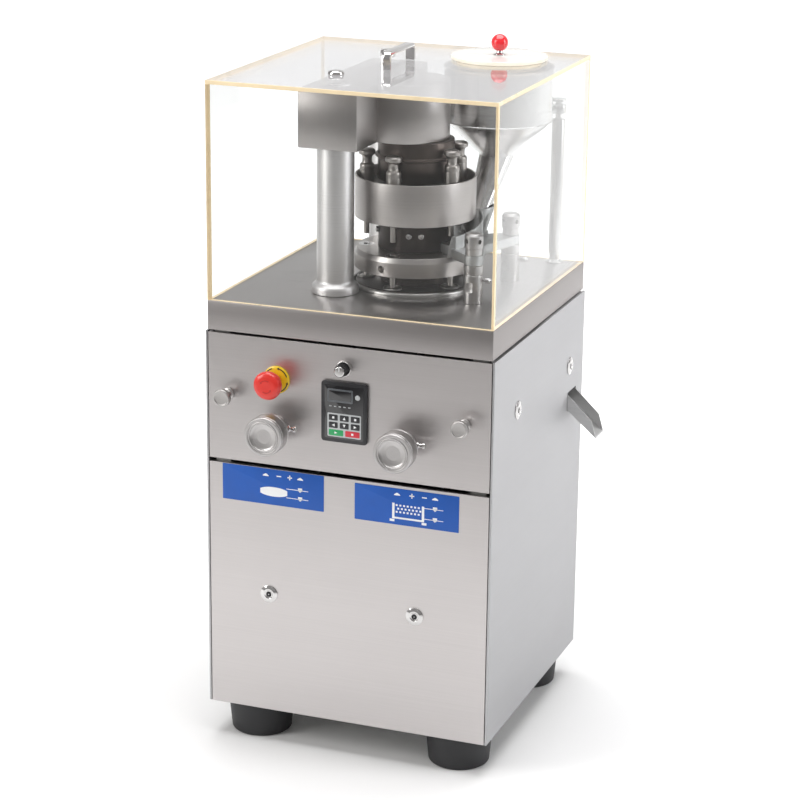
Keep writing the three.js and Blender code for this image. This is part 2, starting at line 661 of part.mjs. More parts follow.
function buildHopperStand() {
  const foot = TABLE_TOP + GAP;
  return turned([
    [0, foot], [15, foot], [15, foot + 4], [9, foot + 6], [9, foot + 16], [STAND.radius, foot + 18],
    [STAND.radius, 996], [STAND.rod, 997], [STAND.rod, 1026], [13, 1026], [13, 1031], [0, 1031],
  ], STAND.x, STAND.y, SMALL);
}

function buildFeederFrame() {
  const { inner, outer, from, to, bottom, top } = FEEDER;
  const sector = new THREE.Shape();
  sector.absarc(TURRET.x, TURRET.y, outer, radians(from), radians(to), false);
  sector.absarc(TURRET.x, TURRET.y, inner, radians(to), radians(from), true);
  sector.closePath();
  const pocket = new THREE.Shape();
  pocket.absarc(TURRET.x, TURRET.y, 92, radians(from + 12), radians(to - 12), false);
  pocket.absarc(TURRET.x, TURRET.y, 68, radians(to - 12), radians(from + 12), true);
  pocket.closePath();
  const arch = raised(sector, bottom, top, 12);
  const bridge = raised(outline([
    [106, -66], [POSTS[0].x, POSTS[0].y - 15], [POSTS[0].x + 15, POSTS[0].y + 4], [150, -20],
    [POSTS[1].x + 13, POSTS[1].y - 8], [POSTS[1].x - 4, POSTS[1].y + 14], [120, 52],
  ]), bottom, top);
  const bosses = POSTS.map((post) => rod(15, bottom, top, post.x, post.y, ROUND));
  const seat = rod(24, bottom, top + 1, SPOUT.x, SPOUT.y, ROUND);
  const body = unite([arch, bridge, ...bosses, seat, feederTab(), feederScoop()]);
  return cutAll(body, [
    raised(pocket, bottom - 1, top - 4, 10),
    ...POSTS.map((post) => rod(10.3, bottom - 1, top + 1, post.x, post.y, ROUND)),
    rod(SPOUT.radius + 3, top - 5, top + 5, SPOUT.x, SPOUT.y, ROUND),
    scoopCone(SCOOP.wall),
    rod(PUNCH_SWEEP.tipR, top + 1, SCOOP.cupTop.z + 9, TURRET.x, TURRET.y, FINE),
    rod(PUNCH_SWEEP.barrelR, PUNCH_SWEEP.barrelFrom, SCOOP.cupTop.z + 9, TURRET.x, TURRET.y, FINE),
    slantedCone({ ...onTurret(25, 86), z: bottom - 1, radius: 9 },
      { x: SPOUT.x, y: SPOUT.y, z: top - 4.9, radius: SPOUT.radius }),
  ]);
}

// The upright tab at the feeder's leading end leans towards the scoop.
function feederTab() {
  const spot = onTurret(SCOOP.from + 0.5, 100);
  const leaning = outline([[-8, 0], [6, 0], [10, 18], [13, 33], [11, 36], [2, 36], [-1, 33], [-5, 18]]);
  const geometry = new THREE.ExtrudeGeometry(leaning, { depth: 4, bevelEnabled: false });
  geometry.rotateX(Math.PI / 2);
  geometry.rotateZ(radians(20));
  geometry.translate(spot.x, spot.y, FEEDER.bottom);
  return solid(geometry);
}

// The cup round the spout, or its hollow when an inset is given.
function scoopCone(inset = 0) {
  const { cupRadius, cupTopRadius, cupTop } = SCOOP;
  const reach = inset > 0 ? 1 : 0;
  return slantedCone(
    { x: SPOUT.x, y: SPOUT.y - 4, z: FEEDER.top - 4 - reach, radius: cupRadius - inset },
    { ...cupTop, z: cupTop.z + reach, radius: cupTopRadius - inset },
    ROUND,
  );
}

// A curved wall runs from the tab past the cup; both are cut off along one sloping plane.
function feederScoop() {
  const { from, wallR, wall, cupTop } = SCOOP;
  const band = new THREE.Shape();
  band.absarc(TURRET.x, TURRET.y, wallR + wall, radians(from), radians(FEEDER.to), false);
  band.absarc(TURRET.x, TURRET.y, wallR, radians(FEEDER.to), radians(from), true);
  band.closePath();
  const upstand = raised(band, FEEDER.bottom, cupTop.z, 12);
  const overhang = new THREE.BoxGeometry(260, 260, 60);
  overhang.rotateX(radians(8));
  overhang.translate(TURRET.x + 80, TURRET.y, 887);
  return unite([upstand, scoopCone()]).subtract(solid(overhang));
}

function buildFeederPost(post) {
  const foot = TABLE_TOP + GAP;
  const stem = 10;
  const capFrom = FEEDER.top + GAP;
  const body = turned([
    [0, foot], [POST_R, foot], [POST_R, foot + 46], [POST_R - 1.5, foot + 47], [POST_R - 1.5, foot + 48],
    [POST_R, foot + 49], [POST_R, FEEDER.bottom - GAP], [stem, FEEDER.bottom - GAP], [stem, capFrom],
    [POST_R, capFrom], [POST_R, foot + 115], [POST_R - 2, foot + 117], [0, foot + 117],
  ], post.x, post.y, ROUND);
  const holes = [0, 1, 2, 3].map((step) => {
    const geometry = new THREE.CylinderGeometry(2.6, 2.6, 14, 8);
    geometry.rotateZ(Math.PI / 2);
    geometry.translate(POST_R + 2, 0, 0);
    geometry.rotateZ(radians(58 + 90 * step));
    geometry.translate(post.x, post.y, foot + 103);
    return solid(geometry);
  });
  return cutAll(body, holes);
}

// ---------------------------------------------------------------- discharge chute
function chuteBand(lift) {
  return [
    [CHUTE.insideX, CHUTE.insideZ + lift],
    [CHUTE.wallX, CHUTE.wallZ + lift],
    [CHUTE.endX, CHUTE.endZ + lift],
  ];
}

function buildDischargeChute() {
  const { y0, y1, depth, wall } = CHUTE;
  const rise = depth * 1.2;
  const tipX = CHUTE.endX - 9;
  const upperEdge = chuteBand(rise).slice(0, 2).reverse();
  const outside = outline([...chuteBand(0), [tipX, CHUTE.endZ + rise + 4], ...upperEdge]);
  const hollow = outline([...chuteBand(wall * 1.3), [CHUTE.endX + 20, CHUTE.endZ + rise + 30],
    [CHUTE.wallX, CHUTE.wallZ + 60], [CHUTE.insideX, CHUTE.insideZ + 60]]);
  return carriedAlongY(outside, y0, y1).subtract(carriedAlongY(hollow, y0 + wall, y1 - wall));
}

// ---------------------------------------------------------------- guard
function buildGuardCover() {
  const z0 = TABLE_TOP + GAP;
  const wall = GUARD_WALL;
  return cutAll(box(-HALF_W, HALF_W, -HALF_D, HALF_D, z0, GUARD_TOP), [
    box(-HALF_W + wall, HALF_W - wall, -HALF_D + wall, HALF_D - wall, z0 - 1, GUARD_TOP - wall),
    rod(70, GUARD_TOP - wall - 1, GUARD_TOP + 1, HOPPER.x, HOPPER.y, FINE),
  ]);
}

function buildCoverHandle() {
  const z0 = GUARD_TOP + GAP;
  const z1 = z0 + 28;
  const bar = 6;
  const bow = carriedAlongX(roundedOutline(-38, 80, z0 - 12, z1, 9), -25.5, -10.5);
  const eye = carriedAlongX(roundedOutline(-38 + bar, 80 - bar, z0 - 13, z1 - bar, 4), -26, -10);
  const below = box(-30, -6, -50, 90, z0 - 20, z0);
  return cutAll(bow, [eye, below]);
}

function buildHopperLid() {
  const z0 = GUARD_TOP + GAP;
  const ballR = 14;
  const ballZ = z0 + 26;
  const profile = [[0, z0], [79, z0], [79, z0 + 6], [8, z0 + 6], [5, z0 + 9]];
  const steps = 10;
  const startAngle = Math.asin(5 / ballR);
  for (let i = 0; i < steps; i += 1) {
    const angle = startAngle + ((Math.PI - startAngle) * i) / steps;
    profile.push([ballR * Math.sin(angle), ballZ - ballR * Math.cos(angle)]);
  }
  profile.push([0, ballZ + ballR]);
  return turned(profile, HOPPER.x, HOPPER.y, ROUND);
}

// ---------------------------------------------------------------- controls
function buildEmergencyBody() {
  const body = turnedAlong('y', [
    [8.3, FRONT - 4], [22.5, FRONT - 4], [22.5, FRONT - GAP], [11, FRONT - GAP], [11, FRONT + 8],
    [20, FRONT + 8], [20, FRONT + 50], [0, FRONT + 50], [0, FRONT + 44], [8.3, FRONT + 44], [8.3, FRONT - 4],
  ], EMERGENCY, ROUND);
  return body;
}

function buildEmergencyButton() {
  return turnedAlong('y', [
    [0, FRONT - 46], [14, FRONT - 45.5], [20, FRONT - 44], [23, FRONT - 41], [23, FRONT - 36], [21.5, FRONT - 29],
    [17, FRONT - 26], [14, FRONT - 12], [8, FRONT - 11.5], [8, FRONT + 36], [0, FRONT + 36],
  ], EMERGENCY, ROUND);
}

function buildSpeedDial() {
  return turnedAlong('y', [
    [0, FRONT - 25], [8.5, FRONT - 25], [9.5, FRONT - 23], [10, FRONT - 10], [13.5, FRONT - 8],
    [13.5, FRONT - GAP], [4.5, FRONT - GAP], [4.5, FRONT + 14], [0, FRONT + 14],
  ], DIAL, SMALL);
}

function buildSpeedController() {
  const { x0, x1, z0, z1 } = KEYPAD;
  const face = carriedAlongY(roundedOutline(x0, x1, z0, z1, 6), FRONT - 6, FRONT - GAP, 5);
  const drive = box(x0 + 4.3, x1 - 4.3, FRONT - 1, FRONT + 80, z0 + 4.3, z1 - 4.3);
  return face.add(drive);
}

function handwheelOn(axis, shaftEnd, wormFrom, wormTo, wormR) {
  const wheelR = 32;
  const wheel = turnedAlong('y', [
    [0, FRONT - 58], [14, FRONT - 58], [22, FRONT - 60], [23.5, FRONT - 62], [wheelR - 1.5, FRONT - 62],
    [wheelR, FRONT - 60.5], [wheelR, FRONT - 33.5], [wheelR - 1.5, FRONT - 32], [13, FRONT - 32],
    [13, FRONT - 7], [8, FRONT - 7], [8, wormFrom - 2], [wormR, wormFrom], [wormR, wormTo], [8, wormTo + 2],
    [8, shaftEnd], [0, shaftEnd],
  ], axis, ROUND);
  return wheel;
}

function buildPanelKnob(knob) {
  return turnedAlong('y', [
    [0, FRONT - 31], [13, FRONT - 31], [14.5, FRONT - 29.5], [14.5, FRONT - 23], [12.5, FRONT - 21],
    [7, FRONT - 14], [7, FRONT - 4], [10, FRONT - 3], [10, FRONT - GAP], [4, FRONT - GAP], [4, FRONT + 8],
    [0, FRONT + 8],
  ], knob, SMALL);
}

function buildLock(lock) {
  const front = lock.side === 'front';
  const face = front ? FRONT : PANEL_X;
  const inward = front ? 1 : -1;
  const axis = front ? 'y' : 'x';
  const at = (distance) => face + inward * distance;
  const barrel = turnedAlong(axis, [
    [0, at(-3)], [9, at(-3)], [LOCK_R, at(-1.5)], [LOCK_R, at(-GAP)], [LOCK_BARREL_R, at(-GAP)],
    [LOCK_BARREL_R, at(20)], [0, at(20)],
  ], lock, SMALL);
  const keyhole = front
    ? box(lock.x - 4, lock.x + 4, FRONT - 5, FRONT + 6, lock.z - 1.2, lock.z + 1.2)
    : box(PANEL_X - 6, PANEL_X + 5, lock.y - 4, lock.y + 4, lock.z - 1.2, lock.z + 1.2);
  const tongue = front
    ? box(lock.x - 8, lock.x + 8, FRONT + 16, FRONT + 19.5, lock.z - 8, lock.z + 26)
    : box(PANEL_X - 19.5, PANEL_X - 16, lock.y - 8, lock.y + 8, lock.z - 8, lock.z + 26);
  return barrel.add(tongue).subtract(keyhole);
}

// ---------------------------------------------------------------- assembly
place('base_frame', buildBaseFrame(), castGrey);
FOOT_SPOTS.forEach((spot) => place(spot.name, buildFoot(spot), rubber));
place('control_panel', buildControlPanel(), brushed);
place('lower_door', buildLowerDoor(), brushed);
place('side_panel_right', buildSidePanel(1), brushed);
place('side_panel_left', buildSidePanel(-1), brushed);
place('rear_panel', buildRearPanel(), brushed);
place('table_top', buildTableTop(), brushed);

place('front_column', buildColumn(COLUMN.front), polished);
place('rear_column', buildColumn(COLUMN.rear), polished);
place('head_housing', buildHeadHousing(), brushed);
place('upper_cam_drum', buildUpperCamDrum(), darkSteel);
place('upper_roller', buildUpperRoller(), polished);

place('main_shaft', buildMainShaft(), bronze);
place('die_table', buildDieTable(), polished);
place('upper_turret', buildUpperTurret(), darkSteel);
place('turret_guard_ring', ring(TABLE_DISC_R, 95.5, 863.5, 931.5, TURRET.x, TURRET.y, FINE), brushed);
STATION_ANGLES.forEach((angle, i) => {
  place(`upper_punch_${i + 1}`, buildUpperPunch(angle, UPPER_TIP_Z[i]), polished);
  place(`lower_punch_${i + 1}`, buildLowerPunch(angle), polished);
});
place('lower_cam_track', buildLowerCamTrack(), castGrey);
place('lower_roller_shaft', buildLowerRollerShaft(), darkSteel);
place('lower_roller', buildLowerRoller(), polished);
place('fill_cam', buildFillCam(), bronze);

place('gearbox_housing', buildGearboxHousing(), motorPaint);
place('worm_shaft', buildWormShaft(), darkSteel);
place('motor', buildMotor(), motorPaint);
place('motor_shaft', buildMotorShaft(), darkSteel);
place('drive_belt', buildDriveBelt(), rubber);

place('hopper', buildHopper(), polished);
place('hopper_stand', buildHopperStand(), brushed);
place('feeder_frame', buildFeederFrame(), castGrey);
POSTS.forEach((post) => place(post.name, buildFeederPost(post), polished));
place('discharge_chute', buildDischargeChute(), brushed);

place('guard_cover', buildGuardCover(), clear);
place('cover_handle', buildCoverHandle(), polished);
place('hopper_lid', buildHopperLid(), red);

place('emergency_stop_body', buildEmergencyBody(), blackPlastic);
place('emergency_stop_button', buildEmergencyButton(), red);
place('speed_dial', buildSpeedDial(), blackPlastic);
place('speed_controller', buildSpeedController(), blackPlastic);
place('pressure_handwheel', handwheelOn(PRESSURE, 54, -30, 20, 15), polished);
place('fill_handwheel', handwheelOn(FILL, -66, -90, -70, 14.4), polished);
KNOBS.forEach((knob) => place(knob.name, buildPanelKnob(knob), polished));
LOCKS.forEach((lock) => place(lock.name, buildLock(lock), polished));

export default press;
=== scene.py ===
"""Looks of the small rotary tablet press: its pieces, materials, studio and camera, in metres."""

import json
import math

import bmesh
import bpy
from mathutils import Matrix, Vector


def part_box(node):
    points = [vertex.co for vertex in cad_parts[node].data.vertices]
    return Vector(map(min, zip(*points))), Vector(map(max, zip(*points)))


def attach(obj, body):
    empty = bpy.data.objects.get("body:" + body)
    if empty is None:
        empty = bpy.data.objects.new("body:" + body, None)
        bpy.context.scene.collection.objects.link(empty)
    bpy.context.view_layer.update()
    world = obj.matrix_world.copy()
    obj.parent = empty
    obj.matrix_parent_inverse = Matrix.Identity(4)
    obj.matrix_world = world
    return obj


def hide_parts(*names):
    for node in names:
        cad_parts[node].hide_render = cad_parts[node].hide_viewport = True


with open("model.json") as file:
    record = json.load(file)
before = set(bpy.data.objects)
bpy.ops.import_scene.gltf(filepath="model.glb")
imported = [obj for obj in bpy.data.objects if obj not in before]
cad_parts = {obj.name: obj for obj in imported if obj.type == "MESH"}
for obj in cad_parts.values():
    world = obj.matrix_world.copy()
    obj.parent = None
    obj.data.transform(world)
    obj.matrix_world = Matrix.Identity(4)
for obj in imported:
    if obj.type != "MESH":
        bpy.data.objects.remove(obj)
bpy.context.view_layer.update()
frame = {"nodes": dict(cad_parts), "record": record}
MM = 0.001
BODY_OF = {
    node: body
    for body, nodes in frame["record"]["behaviour"]["bodies"].items()
    for node in nodes
}
STATIONS = (264, 336, 48, 120, 192)
PITCH_R = 80 * MM


# ------------------------------------------------------------------ places, read from the frame
def low(node):
    return Vector(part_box(node)[0])


def high(node):
    return Vector(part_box(node)[1])


def mid(node):
    return (low(node) + high(node)) / 2


TABLE_Z = low("guard_cover").z
TURRET = mid("die_table")
FRONT_Y = low("lower_door").y
CABINET = mid("table_top")


# ------------------------------------------------------------------ mesh helpers
def soften(points, radius, closed=False, steps=3):
    """The outline with each corner turned into a small curve."""
    corners = [Vector(point) for point in points]
    count = len(corners)
    rounded = []
    for i, corner in enumerate(corners):
        if not closed and i in (0, count - 1):
            rounded.append(corner)
            continue
        back = corners[i - 1] - corner
        ahead = corners[(i + 1) % count] - corner
        reach = min(radius, back.length * 0.45, ahead.length * 0.45)
        start = corner + back.normalized() * reach
        end = corner + ahead.normalized() * reach
        for step in range(steps + 1):
            t = step / steps
            rounded.append(start * (1 - t) ** 2 + corner * (2 * t * (1 - t)) + end * t ** 2)
    return rounded


def finish_mesh(name, bm, smooth=35):
    bmesh.ops.remove_doubles(bm, verts=bm.verts, dist=1e-6)
    bmesh.ops.recalc_face_normals(bm, faces=bm.faces)
    mesh = bpy.data.meshes.new(name)
    bm.to_mesh(mesh)
    bm.free()
    mesh.shade_smooth()
    mesh.set_sharp_from_angle(angle=math.radians(smooth))
    piece = bpy.data.objects.new(name, mesh)
    bpy.context.collection.objects.link(piece)
    return piece


AXES = {
    "z": Matrix.Identity(4),
    "y": Matrix.Rotation(math.radians(90), 4, "X"),
    "x": Matrix.Rotation(math.radians(90), 4, "Y"),
}


def lathe(name, profile, place, axis="z", closed=False, round_by=0.6, turns=96):
    """A profile of (radius, distance) in mm, turned about an axis through place. Along y it runs to -Y."""
    points = soften(profile, round_by, closed) if round_by else [Vector(p) for p in profile]
    bm = bmesh.new()
    rings = []
    for radius, along in points:
        if radius < 1e-6:
            rings.append([bm.verts.new((0, 0, along * MM))])
            continue
        angles = (2 * math.pi * i / turns for i in range(turns))
        rings.append([
            bm.verts.new((radius * MM * math.cos(a), radius * MM * math.sin(a), along * MM)) for a in angles
        ])
    pairs = list(zip(rings, rings[1:]))
    if closed:
        pairs.append((rings[-1], rings[0]))
    for lower, upper in pairs:
        for i in range(turns):
            j = (i + 1) % turns
            corners = [lower[i % len(lower)], lower[j % len(lower)], upper[j % len(upper)],
                upper[i % len(upper)]]
            unique = list(dict.fromkeys(corners))
            if len(unique) > 2:
                bm.faces.new(unique)
    bm.transform(Matrix.Translation(place) @ AXES[axis])
    return finish_mesh(name, bm)


def slab(name, corner_a, corner_b, bevel=0.8 * MM, segments=2):
    """A rectangular piece with softened edges between two corners."""
    a = Vector(corner_a)
    b = Vector(corner_b)
    bm = bmesh.new()
    bmesh.ops.create_cube(bm, size=1)
    size = Vector((abs(b.x - a.x), abs(b.y - a.y), abs(b.z - a.z)))
    bm.transform(Matrix.Translation((a + b) / 2) @ Matrix.Diagonal((*size, 1)))
    if bevel:
        bmesh.ops.bevel(bm, geom=bm.edges[:], offset=bevel, segments=segments, affect="EDGES", profile=0.5)
    return finish_mesh(name, bm)


def extrude(name, outline, start, end, axis="z", bevel=0.8 * MM, place=(0, 0, 0)):
    """A flat outline in metres carried along an axis from start to end, its rims softened."""
    bm = bmesh.new()
    base = [bm.verts.new((a, b, start)) for a, b in outline]
    face = bm.faces.new(base)
    lifted = bmesh.ops.extrude_face_region(bm, geom=[face])["geom"]
    moved = [item for item in lifted if isinstance(item, bmesh.types.BMVert)]
    bmesh.ops.translate(bm, verts=moved, vec=(0, 0, end - start))
    bmesh.ops.recalc_face_normals(bm, faces=bm.faces)
    if bevel:
        rims = [edge for edge in bm.edges if edge.is_manifold and edge.calc_face_angle() > math.radians(40)]
        bmesh.ops.bevel(bm, geom=rims, offset=bevel, segments=2, affect="EDGES", profile=0.5)
    turn = {"z": Matrix.Identity(4), "y": XZ_TO_WORLD, "x": YZ_TO_WORLD}[axis]
    bm.transform(Matrix.Translation(place) @ turn)
    return finish_mesh(name, bm)


# An outline's two numbers and its depth become (x, z, y) or (y, z, x).
XZ_TO_WORLD = Matrix(((1, 0, 0, 0), (0, 0, 1, 0), (0, 1, 0, 0), (0, 0, 0, 1)))
YZ_TO_WORLD = Matrix(((0, 0, 1, 0), (1, 0, 0, 0), (0, 1, 0, 0), (0, 0, 0, 1)))


def rounded_rectangle(a0, a1, b0, b1, radius):
    corners = [(a0, b0), (a1, b0), (a1, b1), (a0, b1)]
    return [tuple(point) for point in soften(corners, radius * 1.3, closed=True, steps=6)]


def arc(centre, radius, start, end, steps=32):
    angles = (math.radians(start + (end - start) * i / steps) for i in range(steps + 1))
    return [(centre[0] + radius * math.cos(a), centre[1] + radius * math.sin(a)) for a in angles]


def carve(piece, cutters):
    """Cuts the cutters out of the piece and removes them."""
    for cutter in cutters:
        cut = piece.modifiers.new("cut", "BOOLEAN")
        cut.object = cutter
        cut.solver = "EXACT"
    graph = bpy.context.evaluated_depsgraph_get()
    mesh = bpy.data.meshes.new_from_object(piece.evaluated_get(graph))
    piece.modifiers.clear()
    piece.data = mesh
    mesh.shade_smooth()
    mesh.set_sharp_from_angle(angle=math.radians(35))
    for cutter in cutters:
        bpy.data.objects.remove(cutter)
    return piece


def join(name, parts):
    """One piece made of several meshes, each keeping its own material."""
    with bpy.context.temp_override(active_object=parts[0], selected_editable_objects=parts):
        bpy.ops.object.join()
    parts[0].name = name
    return parts[0]


def paint(piece, *materials):
    piece.data.materials.clear()
    for material in materials:
        piece.data.materials.append(material)
    return piece


def stand_for(piece, node, material=None):
    """The piece takes a CAD node's place, on its body and with its finish."""
    if material:
        paint(piece, material)
    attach(piece, BODY_OF[node])
    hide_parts(node)
    return piece


def add_on(piece, node, material):
    """An extra piece that rides with a CAD node."""
    paint(piece, material)
    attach(piece, BODY_OF[node])
    return piece


def on_turret(angle, radius=PITCH_R, z=0.0):
    return Vector((
        TURRET.x + radius * math.cos(math.radians(angle)),
        TURRET.y + radius * math.sin(math.radians(angle)),
        z,
    ))


# ------------------------------------------------------------------ material helpers
class Tree:
    """A material's node tree with short ways to add and link nodes."""

    def __init__(self, name):
        self.material = bpy.data.materials.new(name)
        self.material.use_nodes = True
        self.tree = self.material.node_tree
        self.shader = self.tree.nodes["Principled BSDF"]
        self.output = self.tree.nodes["Material Output"]

    def add(self, kind, settings=None, **inputs):
        node = self.tree.nodes.new("ShaderNode" + kind)
        for key, value in (settings or {}).items():
            setattr(node, key, value)
        for key, value in inputs.items():
            self.put(node, key.replace("_", " "), value)
        return node

    def put(self, node, key, value):
        socket = node.inputs[int(key)] if key.isdigit() else node.inputs[key]
        if isinstance(value, bpy.types.NodeSocket):
            self.tree.links.new(value, socket)
        else:
            socket.default_value = value

    def set(self, **inputs):
        for key, value in inputs.items():
            self.put(self.shader, key.replace("_", " "), value)

    def math(self, operation, a, b=0.0):
        node = self.add("Math", {"operation": operation})
        self.put(node, "0", a)
        self.put(node, "1", b)
        return node.outputs[0]

    def object_place(self):
        return self.add("TexCoord").outputs["Object"]

    def scaled(self, vector, scale, shift=(0, 0, 0)):
        return self.add("Mapping", Vector=vector, Scale=scale, Location=shift).outputs[0]

    def noise(self, vector, scale, detail=3.0, roughness=0.5):
        node = self.add("TexNoise", Vector=vector, Scale=scale, Detail=detail, Roughness=roughness)
        return node.outputs["Fac"]

    def ramp(self, value, stops):
        node = self.add("ValToRGB", Fac=value)
        ramp = node.color_ramp
        while len(ramp.elements) < len(stops):
            ramp.elements.new(0.5)
        for element, (position, colour) in zip(ramp.elements, stops):
            element.position = position
            element.color = colour if len(colour) == 4 else (*colour, 1)
        return node.outputs["Color"]

    def between(self, value, start, end):
        node = self.add("MapRange", Value=value)
        node.inputs["To Min"].default_value = start
        node.inputs["To Max"].default_value = end
        return node.outputs[0]

    def bump(self, height, strength, distance, normal=None):
        node = self.add("Bump", Height=height, Strength=strength, Distance=distance)
        if normal:
            self.put(node, "Normal", normal)
        return node.outputs[0]

    def edge_round(self, radius):
        return self.add("Bevel", {"samples": 4}, Radius=radius).outputs[0]


def shade(colour, factor):
    return tuple(channel * factor for channel in colour)


def brushed(name, colour, rough=(0.26, 0.4), grain=(2.5, 2.5, 700), soft_edges=0.8 * MM, tangent="Z"):
    """Stainless sheet brushed in one direction, with long streaks, smudges and softened edges."""
    tree = Tree(name)
    place = tree.object_place()
    streaks = tree.noise(tree.scaled(place, grain), 1.0, 4.0, 0.65)
    broad = tree.noise(tree.scaled(place, (0.8, 0.8, 14)), 1.0, 2.0)
    smudge = tree.noise(place, 5.0, 4.0, 0.6)
    mixed = tree.math("ADD", tree.math("MULTIPLY", streaks, 0.7), tree.math("MULTIPLY", broad, 0.3))
    tree.set(
        Metallic=1.0,
        Base_Color=tree.ramp(mixed, [(0.3, shade(colour, 0.94)), (0.7, shade(colour, 1.03))]),
        Roughness=tree.math(
            "ADD", tree.between(streaks, rough[0], rough[1]), tree.math("MULTIPLY", smudge, 0.08)
        ),
        Anisotropic=0.55,
        Tangent=tree.add("Tangent", {"direction_type": "RADIAL", "axis": tangent}).outputs[0],
        Normal=tree.bump(streaks, 0.12, 0.05 * MM, tree.edge_round(soft_edges)),
    )
    return tree.material


def turned(name, colour, centre, rough=(0.14, 0.26), axis="z", grain=900, strength=0.1, metallic=1.0):
    """Lathe-turned metal: fine rings round the axis through centre, and faint handling marks."""
    tree = Tree(name)
    moved = tree.scaled(tree.object_place(), (1, 1, 1), tuple(-c for c in centre))
    split = tree.add("SeparateXYZ", Vector=moved)
    order = {"z": (0, 1, 2), "y": (0, 2, 1), "x": (1, 2, 0)}[axis]
    a, b, along = (split.outputs[i] for i in order)
    radius = tree.math(
        "SQRT", tree.math("ADD", tree.math("MULTIPLY", a, a), tree.math("MULTIPLY", b, b))
    )
    rings = tree.add("CombineXYZ", X=radius, Y=along).outputs[0]
    lines = tree.noise(rings, grain, 3.0, 0.7)
    marks = tree.noise(tree.object_place(), 22.0, 4.0, 0.65)
    tree.set(
        Metallic=metallic,
        Base_Color=tree.ramp(lines, [(0.25, shade(colour, 0.88)), (0.75, shade(colour, 1.05))]),
        Roughness=tree.math(
            "ADD", tree.between(lines, rough[0], rough[1]), tree.math("MULTIPLY", marks, 0.1)
        ),
        Normal=tree.bump(lines, strength, 0.04 * MM),
    )
    return tree.material


def plastic(name, colour, rough=0.4, grain=900.0, strength=0.15, coat=0.0, wear=0.12):
    """Moulded plastic or rubber: a fine moulded grain and a little colour variation."""
    tree = Tree(name)
    place = tree.object_place()
    fine = tree.noise(place, grain, 2.0)
    cloud = tree.noise(place, 30.0, 4.0, 0.6)
    tree.set(
        Base_Color=tree.ramp(cloud, [(0.3, shade(colour, 1 - wear)), (0.7, shade(colour, 1 + wear))]),
        Roughness=tree.between(cloud, max(rough - 0.08, 0.03), rough + 0.08),
        Coat_Weight=coat,
        Normal=tree.bump(fine, strength, 0.05 * MM),
    )
    return tree.material


def cast(name, colour, rough=(0.35, 0.55), metallic=1.0, scale=260.0, strength=0.3):
    """Cast or painted metal with a fine pitted skin and darker grime in patches spread by noise."""
    tree = Tree(name)
    place = tree.object_place()
    skin = tree.noise(place, scale, 5.0, 0.6)
    grime = tree.noise(place, 12.0, 5.0, 0.65)
    tree.set(
        Metallic=metallic,
        Base_Color=tree.ramp(grime, [(0.35, shade(colour, 0.75)), (0.65, shade(colour, 1.05))]),
        Roughness=tree.between(grime, rough[0], rough[1]),
        Normal=tree.bump(skin, strength, 0.15 * MM, tree.edge_round(0.7 * MM)),
    )
    return tree.material


def acrylic(name, tint, haze=0.02, milk_and_sheen=0.0, dust_and_sheen_colour=(0.92, 0.92, 0.91)):
    """Clear acrylic: see-through, mirror-like at a shallow angle, and a little milky with fine scratches. On
    the guard's top, a strong grey milky layer is a painted reflection.
    """
    tree = Tree(name)
    smear = tree.noise(tree.object_place(), 3.0, 4.0, 0.6)
    clear = tree.add("BsdfTransparent", Color=(*tint, 1))
    # The milky diffuse layer: a faint real haze, and on the guard's top a painted reflection.
    dust_and_sheen = tree.add("BsdfDiffuse", Color=(*dust_and_sheen_colour, 1))
    body = tree.add("MixShader", Fac=tree.between(smear, milk_and_sheen * 0.8, milk_and_sheen * 1.2))
    tree.put(body, "1", clear.outputs[0])
    tree.put(body, "2", dust_and_sheen.outputs[0])
    glare = tree.add("BsdfGlossy", Roughness=tree.between(smear, haze, haze * 3))
    glare.inputs["Color"].default_value = (1, 1, 1, 1)
    grazing = tree.math("POWER", tree.add("LayerWeight", Blend=0.5).outputs["Facing"], 5.0)
    mix = tree.add("MixShader", Fac=tree.between(grazing, 0.04, 1.0))
    tree.put(mix, "1", body.outputs[0])
    tree.put(mix, "2", glare.outputs[0])
    tree.tree.links.new(mix.outputs[0], tree.output.inputs["Surface"])
    tree.tree.nodes.remove(tree.shader)
    return tree.material


def acrylic_edge(name, colour):
    """The sawn and flamed edge of the acrylic: amber, with a small painted glow (emission) that stands in for
    the light piped along the sheet.
    """
    tree = Tree(name)
    place = tree.object_place()
    saw = tree.noise(place, 25.0, 3.0)
    tree.set(
        Base_Color=tree.ramp(saw, [(0.3, shade(colour, 0.93)), (0.7, shade(colour, 1.05))]),
        # Painted light: the emission makes the edge glow although it is no lamp.
        Emission_Color=(*colour, 1),
        Emission_Strength=0.22,
        Roughness=tree.between(saw, 0.2, 0.4),
        IOR=1.49,
    )
    return tree.material


# ------------------------------------------------------------------ the materials of this press
STEEL = (0.56, 0.535, 0.53)
# The side and rear panels are the front's stainless, painted darker and cooler. The cool tint is a painted
# reflection of the bright surroundings on that side.
COOL_SHEEN_STEEL = (0.47, 0.47, 0.48)
front_sheet = brushed("front_sheet", STEEL)
side_sheet = brushed("side_sheet", COOL_SHEEN_STEEL, (0.36, 0.5))
table_sheet = brushed("table_sheet", (0.42, 0.40, 0.395), (0.2, 0.32), (2.5, 500, 500))
